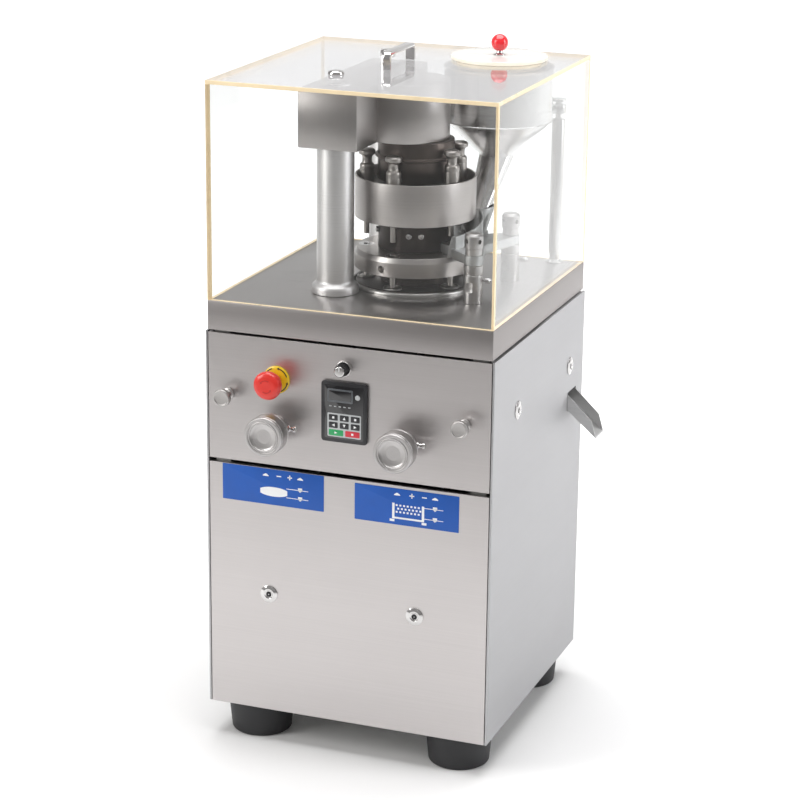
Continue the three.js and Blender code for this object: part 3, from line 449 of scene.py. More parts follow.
# A darker sheet for the table plate's side faces: painted shade on the skirt.
shaded_skirt_sheet = brushed("shaded_skirt_sheet", (0.37, 0.35, 0.345), (0.36, 0.48))
head_sheet = brushed("head_sheet", (0.44, 0.415, 0.405), (0.26, 0.38), (700, 700, 2.5), 1.2 * MM)
chute_sheet = brushed("chute_sheet", (0.66, 0.66, 0.66), (0.22, 0.34), (2.5, 300, 300), 0.5 * MM)
polished = turned("polished_steel", (0.70, 0.68, 0.67), TURRET, (0.07, 0.14), "z", 700, 0.05)
turret_steel = turned("turret_steel", (0.50, 0.475, 0.46), TURRET, (0.22, 0.34))
ring_steel = turned("ring_steel", (0.52, 0.49, 0.475), TURRET, (0.28, 0.38))
# The lower seals and the turret rim on the table are painted darker than the turret steel: painted shade for
# the dark gap under the die table.
seal_steel_shaded = turned("seal_steel_shaded", (0.30, 0.29, 0.28), TURRET, (0.2, 0.32))
rim_steel_shaded = turned("rim_steel_shaded", (0.34, 0.33, 0.32), TURRET, (0.2, 0.3))
# Near-black steel: oiled steel for the shafts, and painted shade on the die table's lower body.
oiled_steel_and_shade = turned("oiled_steel_and_painted_shade", (0.055, 0.045, 0.042), TURRET, (0.22, 0.4))
chrome = turned("chrome_trim", (0.66, 0.65, 0.645), CABINET, (0.04, 0.1), "z", 300, 0.02)
frame_paint = cast("frame_paint", (0.34, 0.34, 0.33), (0.4, 0.6), 0.3)
machine_paint = cast("machine_paint", (0.16, 0.22, 0.25), (0.3, 0.45), 0.0, 500.0, 0.15)
feeder_cast = cast("feeder_cast", (0.52, 0.525, 0.52), (0.34, 0.5))
bronze = cast("bearing_bronze", (0.55, 0.36, 0.17), (0.2, 0.35))
rubber = plastic("foot_rubber", (0.018, 0.018, 0.02), 0.55, 500.0, 0.4)
black_plastic = plastic("black_plastic", (0.02, 0.02, 0.023), 0.38)
stop_red = plastic("stop_red", (0.72, 0.03, 0.02), 0.3, 700.0, 0.08, 0.3, 0.06)
ball_red = plastic("ball_red", (0.75, 0.02, 0.03), 0.18, 300.0, 0.03, 0.6, 0.05)
stop_mark_red = plastic("stop_mark_red", (0.50, 0.02, 0.015), 0.35, 700.0, 0.08, 0.1, 0.05)
stop_yellow = plastic("stop_yellow", (0.85, 0.60, 0.02), 0.35, 700.0, 0.08, 0.2, 0.05)
sticker_blue = plastic("sticker_blue", (0.002, 0.085, 0.42), 0.5, 200.0, 0.04, 0.0, 0.05)
sticker_white = plastic("sticker_white", (0.88, 0.89, 0.90), 0.45, 200.0, 0.04, 0.0, 0.03)
key_silver = plastic("key_silver", (0.50, 0.52, 0.53), 0.4, 600.0, 0.1, 0.0, 0.05)
key_green = plastic("key_green", (0.03, 0.36, 0.12), 0.4, 600.0, 0.1, 0.0, 0.05)
key_red = plastic("key_red", (0.60, 0.03, 0.05), 0.4, 600.0, 0.1, 0.0, 0.05)
window_glass = plastic("display_window", (0.012, 0.012, 0.014), 0.12, 100.0, 0.01, 0.8, 0.02)
guard_clear = acrylic("guard_acrylic", (0.985, 0.99, 0.99), 0.015, 0.012)
# The top sheet's strong grey milky layer is a painted reflection. It stands in for the light-grey sheen the
# top shows at a shallow angle, while the walls stay clear.
guard_top = acrylic("guard_top_acrylic", (0.93, 0.93, 0.935), 0.02, 0.2, (0.62, 0.62, 0.63))
guard_edge = acrylic_edge("guard_edge", (0.80, 0.66, 0.44))
lid_edge = acrylic_edge("lid_edge", (0.86, 0.80, 0.68))


# ------------------------------------------------------------------ CAD nodes kept, with better finishes
def dress_kept_nodes():
    finishes = {
        front_sheet: ["control_panel", "lower_door"],
        side_sheet: ["side_panel_right", "side_panel_left", "rear_panel"],
        chute_sheet: ["discharge_chute"],
        frame_paint: ["base_frame"],
        machine_paint: ["gearbox_housing", "motor"],
        oiled_steel_and_shade: ["worm_shaft", "motor_shaft", "lower_cam_track", "lower_roller_shaft"],
        polished: ["main_shaft", "upper_roller", "lower_roller"],
        bronze: ["fill_cam"],
        rubber: ["drive_belt"],
    }
    for material, nodes in finishes.items():
        for node in nodes:
            paint(frame["nodes"][node], material)


# ------------------------------------------------------------------ cabinet
def build_feet():
    for node in ("foot_front_left", "foot_front_right", "foot_rear_left", "foot_rear_right"):
        place = Vector((mid(node).x, mid(node).y, 0))
        top = (high(node).z - low(node).z) / MM
        profile = [(0, 0.3), (44, 0.3), (47, 0), (50, 3), (54.2, top - 11), (54.9, top - 6), (54.9, top),
            (0, top)]
        foot = lathe(node + "_rubber", profile, place, round_by=2.0)
        stand_for(foot, node, rubber)


def build_table():
    corner_low = low("table_top")
    corner_high = high("table_top")
    top = TABLE_Z - 0.3 * MM
    plate = slab("table_cover", corner_low, (corner_high.x, corner_high.y, top), 1.2 * MM, 3)
    inside = slab(
        "inside", corner_low + Vector((4, 4, -5)) * MM,
        (corner_high.x - 4 * MM, corner_high.y - 4 * MM, top - 8 * MM), 0
    )
    well = lathe("well", [(0, -20), (99, -20), (99, 20), (0, 20)], Vector((TURRET.x, TURRET.y, top)),
        round_by=0)
    posts = []
    for node in ("front_column", "rear_column"):
        place = Vector((mid(node).x, mid(node).y, top))
        posts.append(lathe("post_hole", [(0, -20), (14.3, -20), (14.3, 20), (0, 20)], place, round_by=0))
    drop = slab("drop", DROP_LOW + Vector((0, 0, top)), DROP_HIGH + Vector((0, 0, top)), 0)
    carve(plate, [inside, well, *posts, drop])
    # The top faces get the table sheet and the side faces get the darker skirt sheet: painted shade on the
    # plate's sides.
    paint(plate, table_sheet, shaded_skirt_sheet)
    for face in plate.data.polygons:
        face.material_index = 0 if face.normal.z > 0.7 else 1
    stand_for(plate, "table_top")
    rim = lathe(
        "turret_rim", [(99, -8), (105, -8), (105, 4), (103, 7), (99, 7)],
        Vector((TURRET.x, TURRET.y, top)), closed=True, round_by=1.2, turns=160,
    )
    add_on(rim, "table_top", rim_steel_shaded)


# The discharge drop through the table, measured from the turret's axis in x and y.
DROP_LOW = Vector((TURRET.x - 4 * MM, TURRET.y + 157 * MM, -20 * MM))
DROP_HIGH = Vector((TURRET.x + 26 * MM, TURRET.y + 185 * MM, 20 * MM))


def build_locks():
    for node in ("door_lock_left", "door_lock_right", "side_lock_front", "side_lock_rear"):
        on_front = node.startswith("door")
        if on_front:
            face = Vector((mid(node).x, FRONT_Y, low(node).z + 15 * MM))
            axis = "y"
        else:
            face = Vector((high("side_panel_right").x, mid(node).y, low(node).z + 15 * MM))
            axis = "x"
        build_lock(node, face, axis)


def build_lock(node, face, axis):
    """A cam lock: dished chrome escutcheon, sunk core with a double-bit keyhole, and the tongue inside."""
    body = lathe(
        node + "_barrel",
        [(4.2, 0.6), (4.6, 1.9), (6.6, 2.2), (7.4, 3.0), (9.5, 3.0), (15, 1.2), (15, 0.3), (8, 0.3),
            (8, -20), (0, -20),
         (0, 0.6)],
        face, axis, round_by=0.3, turns=64,
    )
    out = AXES[axis].to_3x3() @ Vector((0, 0, 1))
    across = Vector((0, 1, 0)) if axis == "x" else Vector((1, 0, 0))
    up = Vector((0, 0, 1))

    def block(name, width, bottom, top, depth0, depth1, bevel):
        start = face - across * width * MM + up * bottom * MM + out * depth0 * MM
        end = face + across * width * MM + up * top * MM + out * depth1 * MM
        return slab(name, start, end, bevel * MM)

    tongue = block("tongue", 8, -8, 26, -19.5, -16, 1)
    bits = [block("bit", 1.5, -4.4, 4.4, 0.2, 2.1, 0.3), block("bit", 2.9, -2.2, 2.2, 0.2, 2.1, 0.3)]
    paint(body, chrome)
    paint(tongue, chrome)
    for part in bits:
        paint(part, black_plastic)
    pin = lathe("pin", [(0, 2.5), (0.9, 2.5), (0.9, 0), (0, 0)], face, axis, round_by=0.1, turns=16)
    paint(pin, chrome)
    stand_for(join(node + "_lock", [body, tongue, *bits, pin]), node)


# ------------------------------------------------------------------ head and columns
def build_columns():
    for node in ("front_column", "rear_column"):
        place = Vector((mid(node).x, mid(node).y, TABLE_Z))
        down = (low(node).z - TABLE_Z) / MM
        up = (low("head_housing").z - TABLE_Z) / MM - 0.3
        stud = (high(node).z - TABLE_Z) / MM
        flange = [(0, down), (14, down), (14, 0.3), (38, 0.3)]
        curve = [(38, 9), (37, 13), (34, 15.5), (31.5, 17), (30, 20)]
        profile = [*flange, *curve, (30, up), (14, up), (14, stud), (0, stud)]
        column = lathe(node + "_polished", profile, place, round_by=1.0, turns=128)
        centre = Vector((place.x, place.y, 0))
        steel = turned(node + "_steel", (0.80, 0.785, 0.78), centre, (0.34, 0.46), "z", 500, 0.04)
        stand_for(column, node, steel)
        cap_place = Vector((place.x, place.y, high("guard_cover").z))
        cap = lathe(
            node + "_cap_nut",
            [(0, 0.2), (13, 0.2), (13, 2.5), (12, 5.5), (8, 7), (0, 7)], cap_place, round_by=0.8, turns=64,
        )
        add_on(cap, "guard_cover", chrome)


def head_outline():
    """The head seen from above: a rectangular arm with a round nose over the turret."""
    a = low("head_housing")
    b = high("head_housing")
    nose_r = 72 * MM
    centre = (b.x - nose_r, TURRET.y)
    side = centre[0] - 23 * MM
    reach = math.degrees(math.acos((side - centre[0]) / nose_r))
    nose = arc(centre, nose_r, -reach, reach, 64)
    return [(a.x, a.y), (side, a.y), *nose, (side, b.y), (a.x, b.y)]


def build_head():
    bottom = low("head_housing").z
    top = high("head_housing").z
    head = extrude("head_shell", head_outline(), bottom, top, "z", 1.5 * MM)
    roller = mid("upper_roller")
    half = (high("upper_roller").z - roller.z) + 3 * MM
    x0 = roller.x
    slot = slab(
        "slot",
        (ROLLER_SPAN[0] - 2 * MM, TURRET.y - half, bottom - 5 * MM),
        (ROLLER_SPAN[1] + 2 * MM, TURRET.y + half, roller.z + half), 0,
    )
    spindle_length = (high("upper_roller").x - low("head_housing").x) / MM
    spindle = lathe(
        "spindle", [(0, -5), (10.3, -5), (10.3, spindle_length + 1), (0, spindle_length + 1)],
        Vector((low("head_housing").x, TURRET.y, roller.z)), "x", round_by=0,
    )
    shaft = lathe("shaft", [(0, -5), (20.3, -5), (20.3, 72), (0, 72)], Vector((TURRET.x, TURRET.y, bottom)),
        round_by=0)
    studs = []
    for node in ("front_column", "rear_column"):
        place = Vector((mid(node).x, mid(node).y, bottom))
        studs.append(lathe("stud", [(0, -5), (14.3, -5), (14.3, 110), (0, 110)], place, round_by=0))
    carve(head, [slot, spindle, shaft, *studs])
    stand_for(head, "head_housing", head_sheet)
    for node in ("front_column", "rear_column"):
        place = Vector((mid(node).x, mid(node).y, top))
        nut = lathe(node + "_nut", [(14.4, 0.1), (24, 0.1), (24, 3.4), (14.4, 3.4)], place, closed=True,
            turns=6)
        add_on(nut, "head_housing", chrome)


ROLLER_SPAN = (mid("lower_roller").x - 15 * MM, mid("lower_roller").x + 15 * MM)


def build_cam_drum():
    node = "upper_cam_drum"
    place = Vector((TURRET.x, TURRET.y, low(node).z))
    height = (high(node).z - low(node).z) / MM
    profile = [
        (24, 0), (62, 0), (62, 35.5), (66.2, 37), (66.2, 40.2), (62, 41.6), (62, height), (24, height),
    ]
    stand_for(lathe(node + "_body", profile, place, closed=True, round_by=1.0, turns=128), node, cam_steel)


cam_steel = turned("cam_steel", (0.11, 0.09, 0.08), TURRET, (0.2, 0.34), "z", 500, 0.1)


# ------------------------------------------------------------------ turret
def hole_cutter(place, radius, start, end, axis="z"):
    return lathe("hole", [(0, start), (radius, start), (radius, end), (0, end)], place, axis, round_by=0,
        turns=48)


def build_die_table():
    node = "die_table"
    place = Vector((TURRET.x, TURRET.y, low(node).z))
    top = (high(node).z - low(node).z) / MM
    profile = [
        (20.3, 0), (96, 0), (96, 60), (94, 62), (56, 62), (56, top - 32), (98.5, top - 32), (98.5, top - 8.5),
        (95, top - 0.6), (94, top), (20.3, top),
    ]
    disc = lathe(node + "_disc", profile, place, closed=True, round_by=0.8, turns=160)
    cutters = []
    for angle in STATIONS:
        foot = on_turret(angle, z=place.z)
        cutters.append(hole_cutter(foot, 12.3, -5, 66))
        cutters.append(hole_cutter(foot, 4.8, top - 40, top - 8))
        cutters.append(hole_cutter(foot, 12.6, top - 10, top + 5))
    for angle in (257, 17, 137):
        rim = on_turret(angle, 98.5 * MM, place.z + (top - 20) * MM)
        cutter = hole_cutter(Vector((0, 0, 0)), 6, -11, 11, "x")
        turn = Matrix.Translation(rim) @ Matrix.Rotation(math.radians(angle), 4, "Z")
        cutter.data.transform(turn)
        cutters.append(cutter)
    carve(disc, cutters)
    paint(disc, turret_steel, oiled_steel_and_shade)
    # Faces below this height are painted near-black as painted shade for the dark gap under the die table's
    # rim band. The band itself keeps the turret steel.
    painted_shade_top_z = place.z + (top - 31.5) * MM
    for face in disc.data.polygons:
        face.material_index = 1 if face.center.z < painted_shade_top_z else 0
    stand_for(disc, node)
    for number, angle in enumerate(STATIONS, 1):
        foot = on_turret(angle, z=place.z)
        die = lathe(
            f"die_{number}", [(4.8, top - 9.9), (12.5, top - 9.9), (12.5, top), (5.6, top), (4.8, top - 0.8)],
            foot, closed=True, round_by=0.2, turns=64,
        )
        add_on(die, node, chrome)
        seal = lathe(
            f"lower_seal_{number}", [(12.4, 62.1), (15.5, 62.1), (15.5, 64), (14, 65.5), (12.4, 65.5)],
            foot, closed=True, round_by=0.4, turns=64,
        )
        add_on(seal, node, seal_steel_shaded)


def build_upper_turret():
    node = "upper_turret"
    place = Vector((TURRET.x, TURRET.y, low(node).z))
    top = (high(node).z - low(node).z) / MM
    profile = [(20.3, 0), (60, 0), (60, 53.7), (95.2, 53.7), (95.2, top - 2), (92, top), (20.3, top)]
    body = lathe(node + "_body", profile, place, closed=True, round_by=0.8, turns=128)
    carve(body, [hole_cutter(on_turret(angle, z=place.z), 12.3, 40, top + 5) for angle in STATIONS])
    stand_for(body, node, oiled_steel_and_shade)
    for number, angle in enumerate((281, 299, 65, 83, 209), 1):
        head = lathe(
            f"hub_screw_{number}",
            [(0, 3.0), (2.6, 3.0), (2.6, 4.6), (4.2, 4.6), (4.8, 4.0), (4.8, 0), (0, 0)],
            Vector((0, 0, 0)), "x", round_by=0.3, turns=32,
        )
        spot = on_turret(angle, 60 * MM, place.z + 29 * MM)
        head.data.transform(Matrix.Translation(spot) @ Matrix.Rotation(math.radians(angle), 4, "Z"))
        add_on(head, node, chrome)


def build_guard_ring():
    node = "turret_guard_ring"
    place = Vector((TURRET.x, TURRET.y, low(node).z))
    height = (high(node).z - low(node).z) / MM
    profile = [(95.5, 0), (98.5, 0), (98.5, height), (95.5, height)]
    stand_for(lathe(node + "_skin", profile, place, closed=True, round_by=0.9, turns=160), node, ring_steel)


def punch_profile(length):
    """An upper punch from its tip up: tip, barrel with a fine groove, neck and a head with a rounded rim."""
    return [
        (0, 0), (4.2, 0), (4.5, 0.5), (4.5, 25), (6, 26.5), (10.5, 28), (12, 30), (12, length - 35),
        (11.7, length - 34.7),
        (11.7, length - 33.9), (12, length - 33.6), (12, length - 27), (11, length - 24.6),
        (8.4, length - 22.6),
        (8, length - 20), (8, length - 13.5), (9.5, length - 10.5), (13.5, length - 8), (13.5, length - 3),
        (12, length - 1), (9.5, length), (0, length),
    ]


def build_punches():
    for number, angle in enumerate(STATIONS, 1):
        for kind in ("upper", "lower"):
            node = f"{kind}_punch_{number}"
            foot = on_turret(angle, z=low(node).z)
            length = (high(node).z - low(node).z) / MM
            profile = punch_profile(length)
            if kind == "lower":
                profile = [(radius, length - along) for radius,
                    along in reversed(lower_punch_outline(length))]
            punch = lathe(node + "_steel", profile, foot, round_by=0.5, turns=64)
            stand_for(punch, node, punch_steel[number - 1])


def lower_punch_outline(length):
    """The lower punch hangs tip up and its tip is longer, because it reaches up through the die."""
    return [
        (0, 0), (4.2, 0), (4.5, 0.5), (4.5, 40), (10.5, 40.5), (12, 42.5), (12, length - 26),
        (10.8, length - 24.4),
        (8, length - 22), (8, length - 12.5), (13.5, length - 8), (13.5, length - 3), (11, length),
        (0, length),
    ]


punch_steel = [
    turned(f"punch_steel_{number}", (0.42, 0.395, 0.375), on_turret(angle), (0.24, 0.36), "z", 700, 0.06)
    for number, angle in enumerate(STATIONS, 1)
]


# ------------------------------------------------------------------ feeder, hopper and chute
def build_posts():
    for node in ("feeder_post_front", "feeder_post_rear"):
        place = Vector((mid(node).x, mid(node).y, low(node).z))
        bracket = (low("feeder_frame").z - low(node).z) / MM
        seat = bracket + 15.8
        profile = [
            *[(0, 0), (15.5, 0), (15.5, 46), (14.4, 46.6), (14.4, 47.8), (15.5, 48.4)],
            *[(15.5, bracket - 0.5), (10, bracket - 0.3), (10, seat), (13.6, seat)],
            *[(13.6, 89), (14.9, 89.5), (14.9, 109), (11.5, 113), (0, 113)],
        ]
        post = lathe(node + "_turned", profile, place, round_by=0.5, turns=80)
        cutters = []
        for step in range(4):
            cutter = hole_cutter(Vector((0, 0, 0)), 3.6, 8, 20, "x")
            turn = Matrix.Rotation(math.radians(58 + 90 * step), 4, "Z")
            cutter.data.transform(Matrix.Translation(place + Vector((0, 0, 101 * MM))) @ turn)
            cutters.append(cutter)
        flat = slab("flat", (-6 * MM, -20 * MM, 19 * MM), (6 * MM, -14.3 * MM, 35 * MM), 1 * MM)
        flat.data.transform(Matrix.Translation(place) @ Matrix.Rotation(math.radians(-6), 4, "Z"))
        cutters.append(flat)
        carve(post, cutters)
        steel = turned(node + "_steel", (0.50, 0.485, 0.475), place, (0.24, 0.36), "z", 800, 0.06)
        stand_for(post, node, steel)
        shape = [(0, 14), (2.4, 14), (2.4, 19), (4.6, 20), (4.6, 28), (2.8, 29), (2.8, 31), (0, 31)]
        screw = lathe(
            node + "_thumbscrew", shape, place + Vector((0, 0, 37.5 * MM)), "x", round_by=0.4, turns=32,
        )
        add_on(screw, node, chrome)


def build_hopper():
    node = "hopper"
    wall = 1.6
    lid = mid("hopper_lid")
    z0 = TABLE_Z - 0.3 * MM
    place = Vector((lid.x, lid.y, z0))
    profile = [
        (30, 194), (90, 252), (90, 339), (91.2, 340), (91.2, 340.8), (88.8, 340.8), (88.4, 339),
        (88.4, 252.6),
        (28.4, 194),
    ]
    bowl = lathe("bowl", profile, place, closed=True, round_by=0.8, turns=160)
    mouth = place + Vector((-12, -78, 86)) * MM
    throat = place + Vector((0, 0, 194.4)) * MM
    spout = spout_tube(mouth, throat, wall)
    stand = mid("hopper_stand")
    across = Vector((stand.x - lid.x, stand.y - lid.y, 0)).normalized()
    side = Vector((-across.y, across.x, 0)) * 9 * MM
    near = Vector((lid.x, lid.y, 0)) + across * 90.5 * MM
    far = Vector((stand.x, stand.y, 0)) - across * 5 * MM
    outline = [(p.x, p.y) for p in (near - side, far - side, far + side, near + side)]
    lug = extrude("lug", outline, z0 + 256 * MM, z0 + 270 * MM, "z", 1 * MM)
    eye = lathe("eye", [(6.3, 256), (13, 256), (13, 270), (6.3, 270)], Vector((stand.x, stand.y, z0)),
        closed=True)
    whole = join("hopper_shell", [bowl, spout, lug, eye])
    stand_for(whole, node, hopper_steel)
    weld = lathe("hopper_seam", [(90.1, 251), (91, 251.6), (91, 252.6), (90.1, 253.4)], place, closed=True,
        round_by=0.3, turns=128)
    add_on(weld, node, hopper_steel)


def spout_tube(mouth, throat, wall, turns=64, rings=10):
    """The slanting spout: its round ends lie in level planes and are not above each other."""
    bm = bmesh.new()
    loops = []
    for layer in (0, wall):
        for step in range(rings + 1):
            t = step / rings if layer == 0 else 1 - step / rings
            centre = mouth.lerp(throat, t)
            radius = (14 + 16 * t - layer) * MM
            loops.append([
                bm.verts.new(centre + Vector((math.cos(2 * math.pi * i / turns),
                    math.sin(2 * math.pi * i / turns), 0)) * radius)
                for i in range(turns)
            ])
    for a, b in zip(loops, loops[1:] + loops[:1]):
        for i in range(turns):
            j = (i + 1) % turns
            bm.faces.new((a[i], a[j], b[j], b[i]))
    return finish_mesh("spout", bm)


hopper_steel = turned("hopper_steel", (0.64, 0.635, 0.63), mid("hopper_lid"), (0.12, 0.2), "z", 250, 0.05)


def build_stand():
    node = "hopper_stand"
    place = Vector((mid(node).x, mid(node).y, low(node).z))
    top = (high(node).z - low(node).z) / MM
    profile = [
        (0, 0), (15, 0), (15, 3.5), (9, 6), (9, 16), (11.5, 18), (11.5, top - 35.3), (6, top - 34),
        (6, top - 5),
        (13, top - 5), (13, top - 0.8), (0, top),
    ]
    stand_for(lathe(node + "_rod", profile, place, round_by=0.7, turns=64), node, hopper_steel)


def sector(inner, outer, start, end):
    ring = arc((TURRET.x, TURRET.y), outer * MM, start, end, 48)
    return ring + arc((TURRET.x, TURRET.y), inner * MM, end, start, 48)


def cup(inset, mouth, seat_z):
    """The leaning cup round the spout; with an inset it is the cup's hollow."""
    reach = MM if inset else 0
    bm = bmesh.new()
    rings = []
    ends = (
        (mouth + Vector((0, -4 * MM, 0)), seat_z - 4 * MM - reach, 20 - inset),
        (mouth + Vector((3, 21, 0)) * MM, seat_z + 40 * MM + reach, 25 - inset),
    )
    for centre, z, radius in ends:
        angles = (2 * math.pi * i / 72 for i in range(72))
        rings.append([
            bm.verts.new((centre.x + radius * MM * math.cos(a), centre.y + radius * MM * math.sin(a), z))
            for a in angles
        ])
    for i in range(72):
        j = (i + 1) % 72
        bm.faces.new((rings[0][i], rings[0][j], rings[1][j], rings[1][i]))
    bm.faces.new(rings[0])
    bm.faces.new(rings[1])
    return finish_mesh("cup", bm)


def feeder_cutters(bottom, top, mouth):
    """Everything that must stay clear of the feeder: powder pocket, posts, spout and passing punches."""
    turret_foot = Vector((TURRET.x, TURRET.y, 0))
    pocket = extrude("pocket", sector(68, 92, -18, 60), bottom - MM, top - 4 * MM, "z", 0)
    posts = [
        hole_cutter(Vector((mid(node).x, mid(node).y, bottom)), 10.3, -5, 25)
        for node in ("feeder_post_front", "feeder_post_rear")
    ]
    well = hole_cutter(Vector((mouth.x, mouth.y, top)), 17, -5, 5)
    tips = hole_cutter(turret_foot, 86, top / MM + 1, top / MM + 60)
    barrels = hole_cutter(turret_foot, 100, top / MM + 22, top / MM + 60)
    sloping = slab("slope", (-130 * MM, -130 * MM, -30 * MM), (130 * MM, 130 * MM, 30 * MM), 0)
    lift = Vector((TURRET.x + 80 * MM, TURRET.y, top + 59 * MM))
    sloping.data.transform(Matrix.Translation(lift) @ Matrix.Rotation(math.radians(8), 4, "X"))
    return [pocket, *posts, well, tips, barrels, sloping, cup(2.5, mouth, top)]


def build_feeder():
    node = "feeder_frame"
    bottom = low(node).z
    top = bottom + 15.5 * MM
    lid = mid("hopper_lid")
    mouth = Vector((lid.x - 12 * MM, lid.y - 78 * MM, 0))
    front = mid("feeder_post_front")
    rear = mid("feeder_post_rear")
    bridge = [
        (TURRET.x + 82 * MM, TURRET.y - 61 * MM), (front.x, front.y - 15 * MM),
        (front.x + 15 * MM, front.y + 4 * MM),
        (TURRET.x + 126 * MM, TURRET.y - 15 * MM), (rear.x + 13 * MM, rear.y - 8 * MM),
        (rear.x - 4 * MM, rear.y + 14 * MM), (TURRET.x + 96 * MM, TURRET.y + 57 * MM),
    ]
    spot = on_turret(-33.5, 100 * MM)
    leaning = [(-8, 0), (6, 0), (10, 18), (13, 33), (11, 36), (2, 36), (-1, 33), (-5, 18)]
    tab = extrude("tab", [(x * MM, z * MM) for x, z in leaning], -4 * MM, 0, "y", 1.2 * MM)
    turn = Matrix.Translation((spot.x, spot.y, bottom)) @ Matrix.Rotation(math.radians(20), 4, "Z")
    tab.data.transform(turn)
    parts = [
        extrude("arch", sector(64, 112, -30, 72), bottom, top, "z", 1 * MM),
        extrude("bridge", [tuple(p) for p in soften(bridge, 8 * MM, True, 6)], bottom, top, "z", 1 * MM),
        extrude("upstand", sector(108, 110.5, -34, 72), bottom, top + 40 * MM, "z", 0),
        lathe("seat", [(0, 0), (24, 0), (24, 16.5), (0, 16.5)], Vector((mouth.x, mouth.y, bottom)),
            round_by=0.8),
        cup(0, mouth, top),
        *[
            lathe("boss", [(0, 0), (15, 0), (15, 15.5), (0, 15.5)], Vector((post.x, post.y, bottom)),
                round_by=0.8)
            for post in (front, rear)
        ],
    ]
    made = []
    for part in parts:
        made.append(paint(carve(part, feeder_cutters(bottom, top, mouth)), feeder_cast))
    stand_for(join("feeder_casting", [*made, paint(tab, feeder_cast)]), node)


# ------------------------------------------------------------------ guard
def sheet(corner_a, corner_b, thin, clear=None):
    """One acrylic sheet: clear on its two faces and amber on its sawn edges."""
    piece = slab("sheet", corner_a, corner_b, 0.35 * MM, 1)
    paint(piece, clear or guard_clear, guard_edge)
    index = "xyz".index(thin)
    for face in piece.data.polygons:
        face.material_index = 0 if abs(face.normal[index]) > 0.9 else 1
    return piece


def build_guard():
    a = low("guard_cover")
    b = high("guard_cover")
    wall = 6 * MM
    under = b.z - wall
    front = sheet((a.x, a.y, a.z), (b.x, a.y + wall, under), "y")
    back = sheet((a.x, b.y - wall, a.z), (b.x, b.y, under), "y")
    left = sheet((a.x, a.y + wall, a.z), (a.x + wall, b.y - wall, under), "x")
    right = sheet((b.x - wall, a.y + wall, a.z), (b.x, b.y - wall, under), "x")
    top = sheet((a.x, a.y, under), (b.x, b.y, b.z), "z", guard_top)
    lid = mid("hopper_lid")
    hole = lathe("hole", [(0, -20), (70, -20), (70, 20), (0, 20)], Vector((lid.x, lid.y, b.z)), round_by=0,
        turns=128)
    paint(hole, guard_edge)
    carve(top, [hole])
    stand_for(join("guard_sheets", [front, back, left, right, top]), "guard_cover")


def build_lid():
    node = "hopper_lid"
    place = Vector((mid(node).x, mid(node).y, low(node).z))
    top = (high(node).z - low(node).z) / MM
    disc = lathe("lid_disc", [(0, 0), (79, 0), (79, 6), (0, 6)], place, round_by=0.5, turns=128)
    paint(disc, lid_clear, lid_edge)
    for face in disc.data.polygons:
        face.material_index = 0 if abs(face.normal.z) > 0.9 else 1
    stand_for(disc, node)
    stem = lathe("lid_stem", [(0, 6.1), (10, 6.1), (10, 7.5), (5, 9), (4.4, 13.5), (0, 13.5)], place,
        round_by=0.5, turns=48)
    add_on(stem, node, chrome)
    radius = 14
    middle = top - radius
    ball_arc = [
        (radius * math.sin(math.radians(a)), middle - radius * math.cos(math.radians(a))) for a in range(20,
            180, 8)
    ]
    ball = lathe("lid_ball", [(0, ball_arc[0][1]), *ball_arc, (0, top)], place, round_by=0, turns=64)
    add_on(ball, node, ball_red)


lid_clear = acrylic("lid_acrylic", (0.96, 0.94, 0.90), 0.04, 0.45)


def build_handle():
    node = "cover_handle"
    a = low(node)
    b = high(node)
    bar = 6 * MM
    outer = rounded_rectangle(a.y, b.y, a.z - 20 * MM, b.z, 9 * MM)
    bow = extrude("handle_bow", outer, a.x, b.x, "x", 1.6 * MM)
    eye = extrude(
        "eye", rounded_rectangle(a.y + bar, b.y - bar, a.z - 30 * MM, b.z - bar, 5 * MM), a.x - 5 * MM,
        b.x + 5 * MM, "x", 0
    )
    below = slab("below", (a.x - 0.01, a.y - 0.01, a.z - 0.05), (b.x + 0.01, b.y + 0.01, a.z), 0)
    carve(bow, [eye, below])
    stand_for(bow, node, chrome)


# ------------------------------------------------------------------ front controls
def build_emergency_stop():
    face = Vector((mid("emergency_stop_body").x, FRONT_Y, mid("emergency_stop_body").z))
    body = lathe(
        "stop_body",
        [(8.3, 4), (19, 4), (22.5, 2.6), (22.5, 0.3), (11, 0.3), (11, -8), (20, -8), (20, -50), (0, -50),
            (0, -44), (8.3, -44)],
        face, "y", round_by=0.4, turns=96, closed=True,
    )
    stand_for(body, "emergency_stop_body", stop_yellow)
    button = lathe(
        "stop_button",
        [(0, 45.4), (8, 45.6), (15, 45.4), (20.5, 43.6), (23, 40), (23, 35.5), (21.5, 29), (17, 26),
            (14, 13), (8, 12),
         (8, -36), (0, -36)],
        face, "y", round_by=1.4, turns=96,
    )
    stand_for(button, "emergency_stop_button", stop_red)
    for step in range(2):
        sign = arrow_mark(face, 10 * MM, 45.9 * MM, 60 + 180 * step)
        add_on(sign, "emergency_stop_button", stop_mark_red)
    for step in range(4):
        sign = arrow_mark(face, 19.6 * MM, 4.4 * MM, 20 + 90 * step, 55, 0.6)
        add_on(sign, "emergency_stop_body", black_plastic)


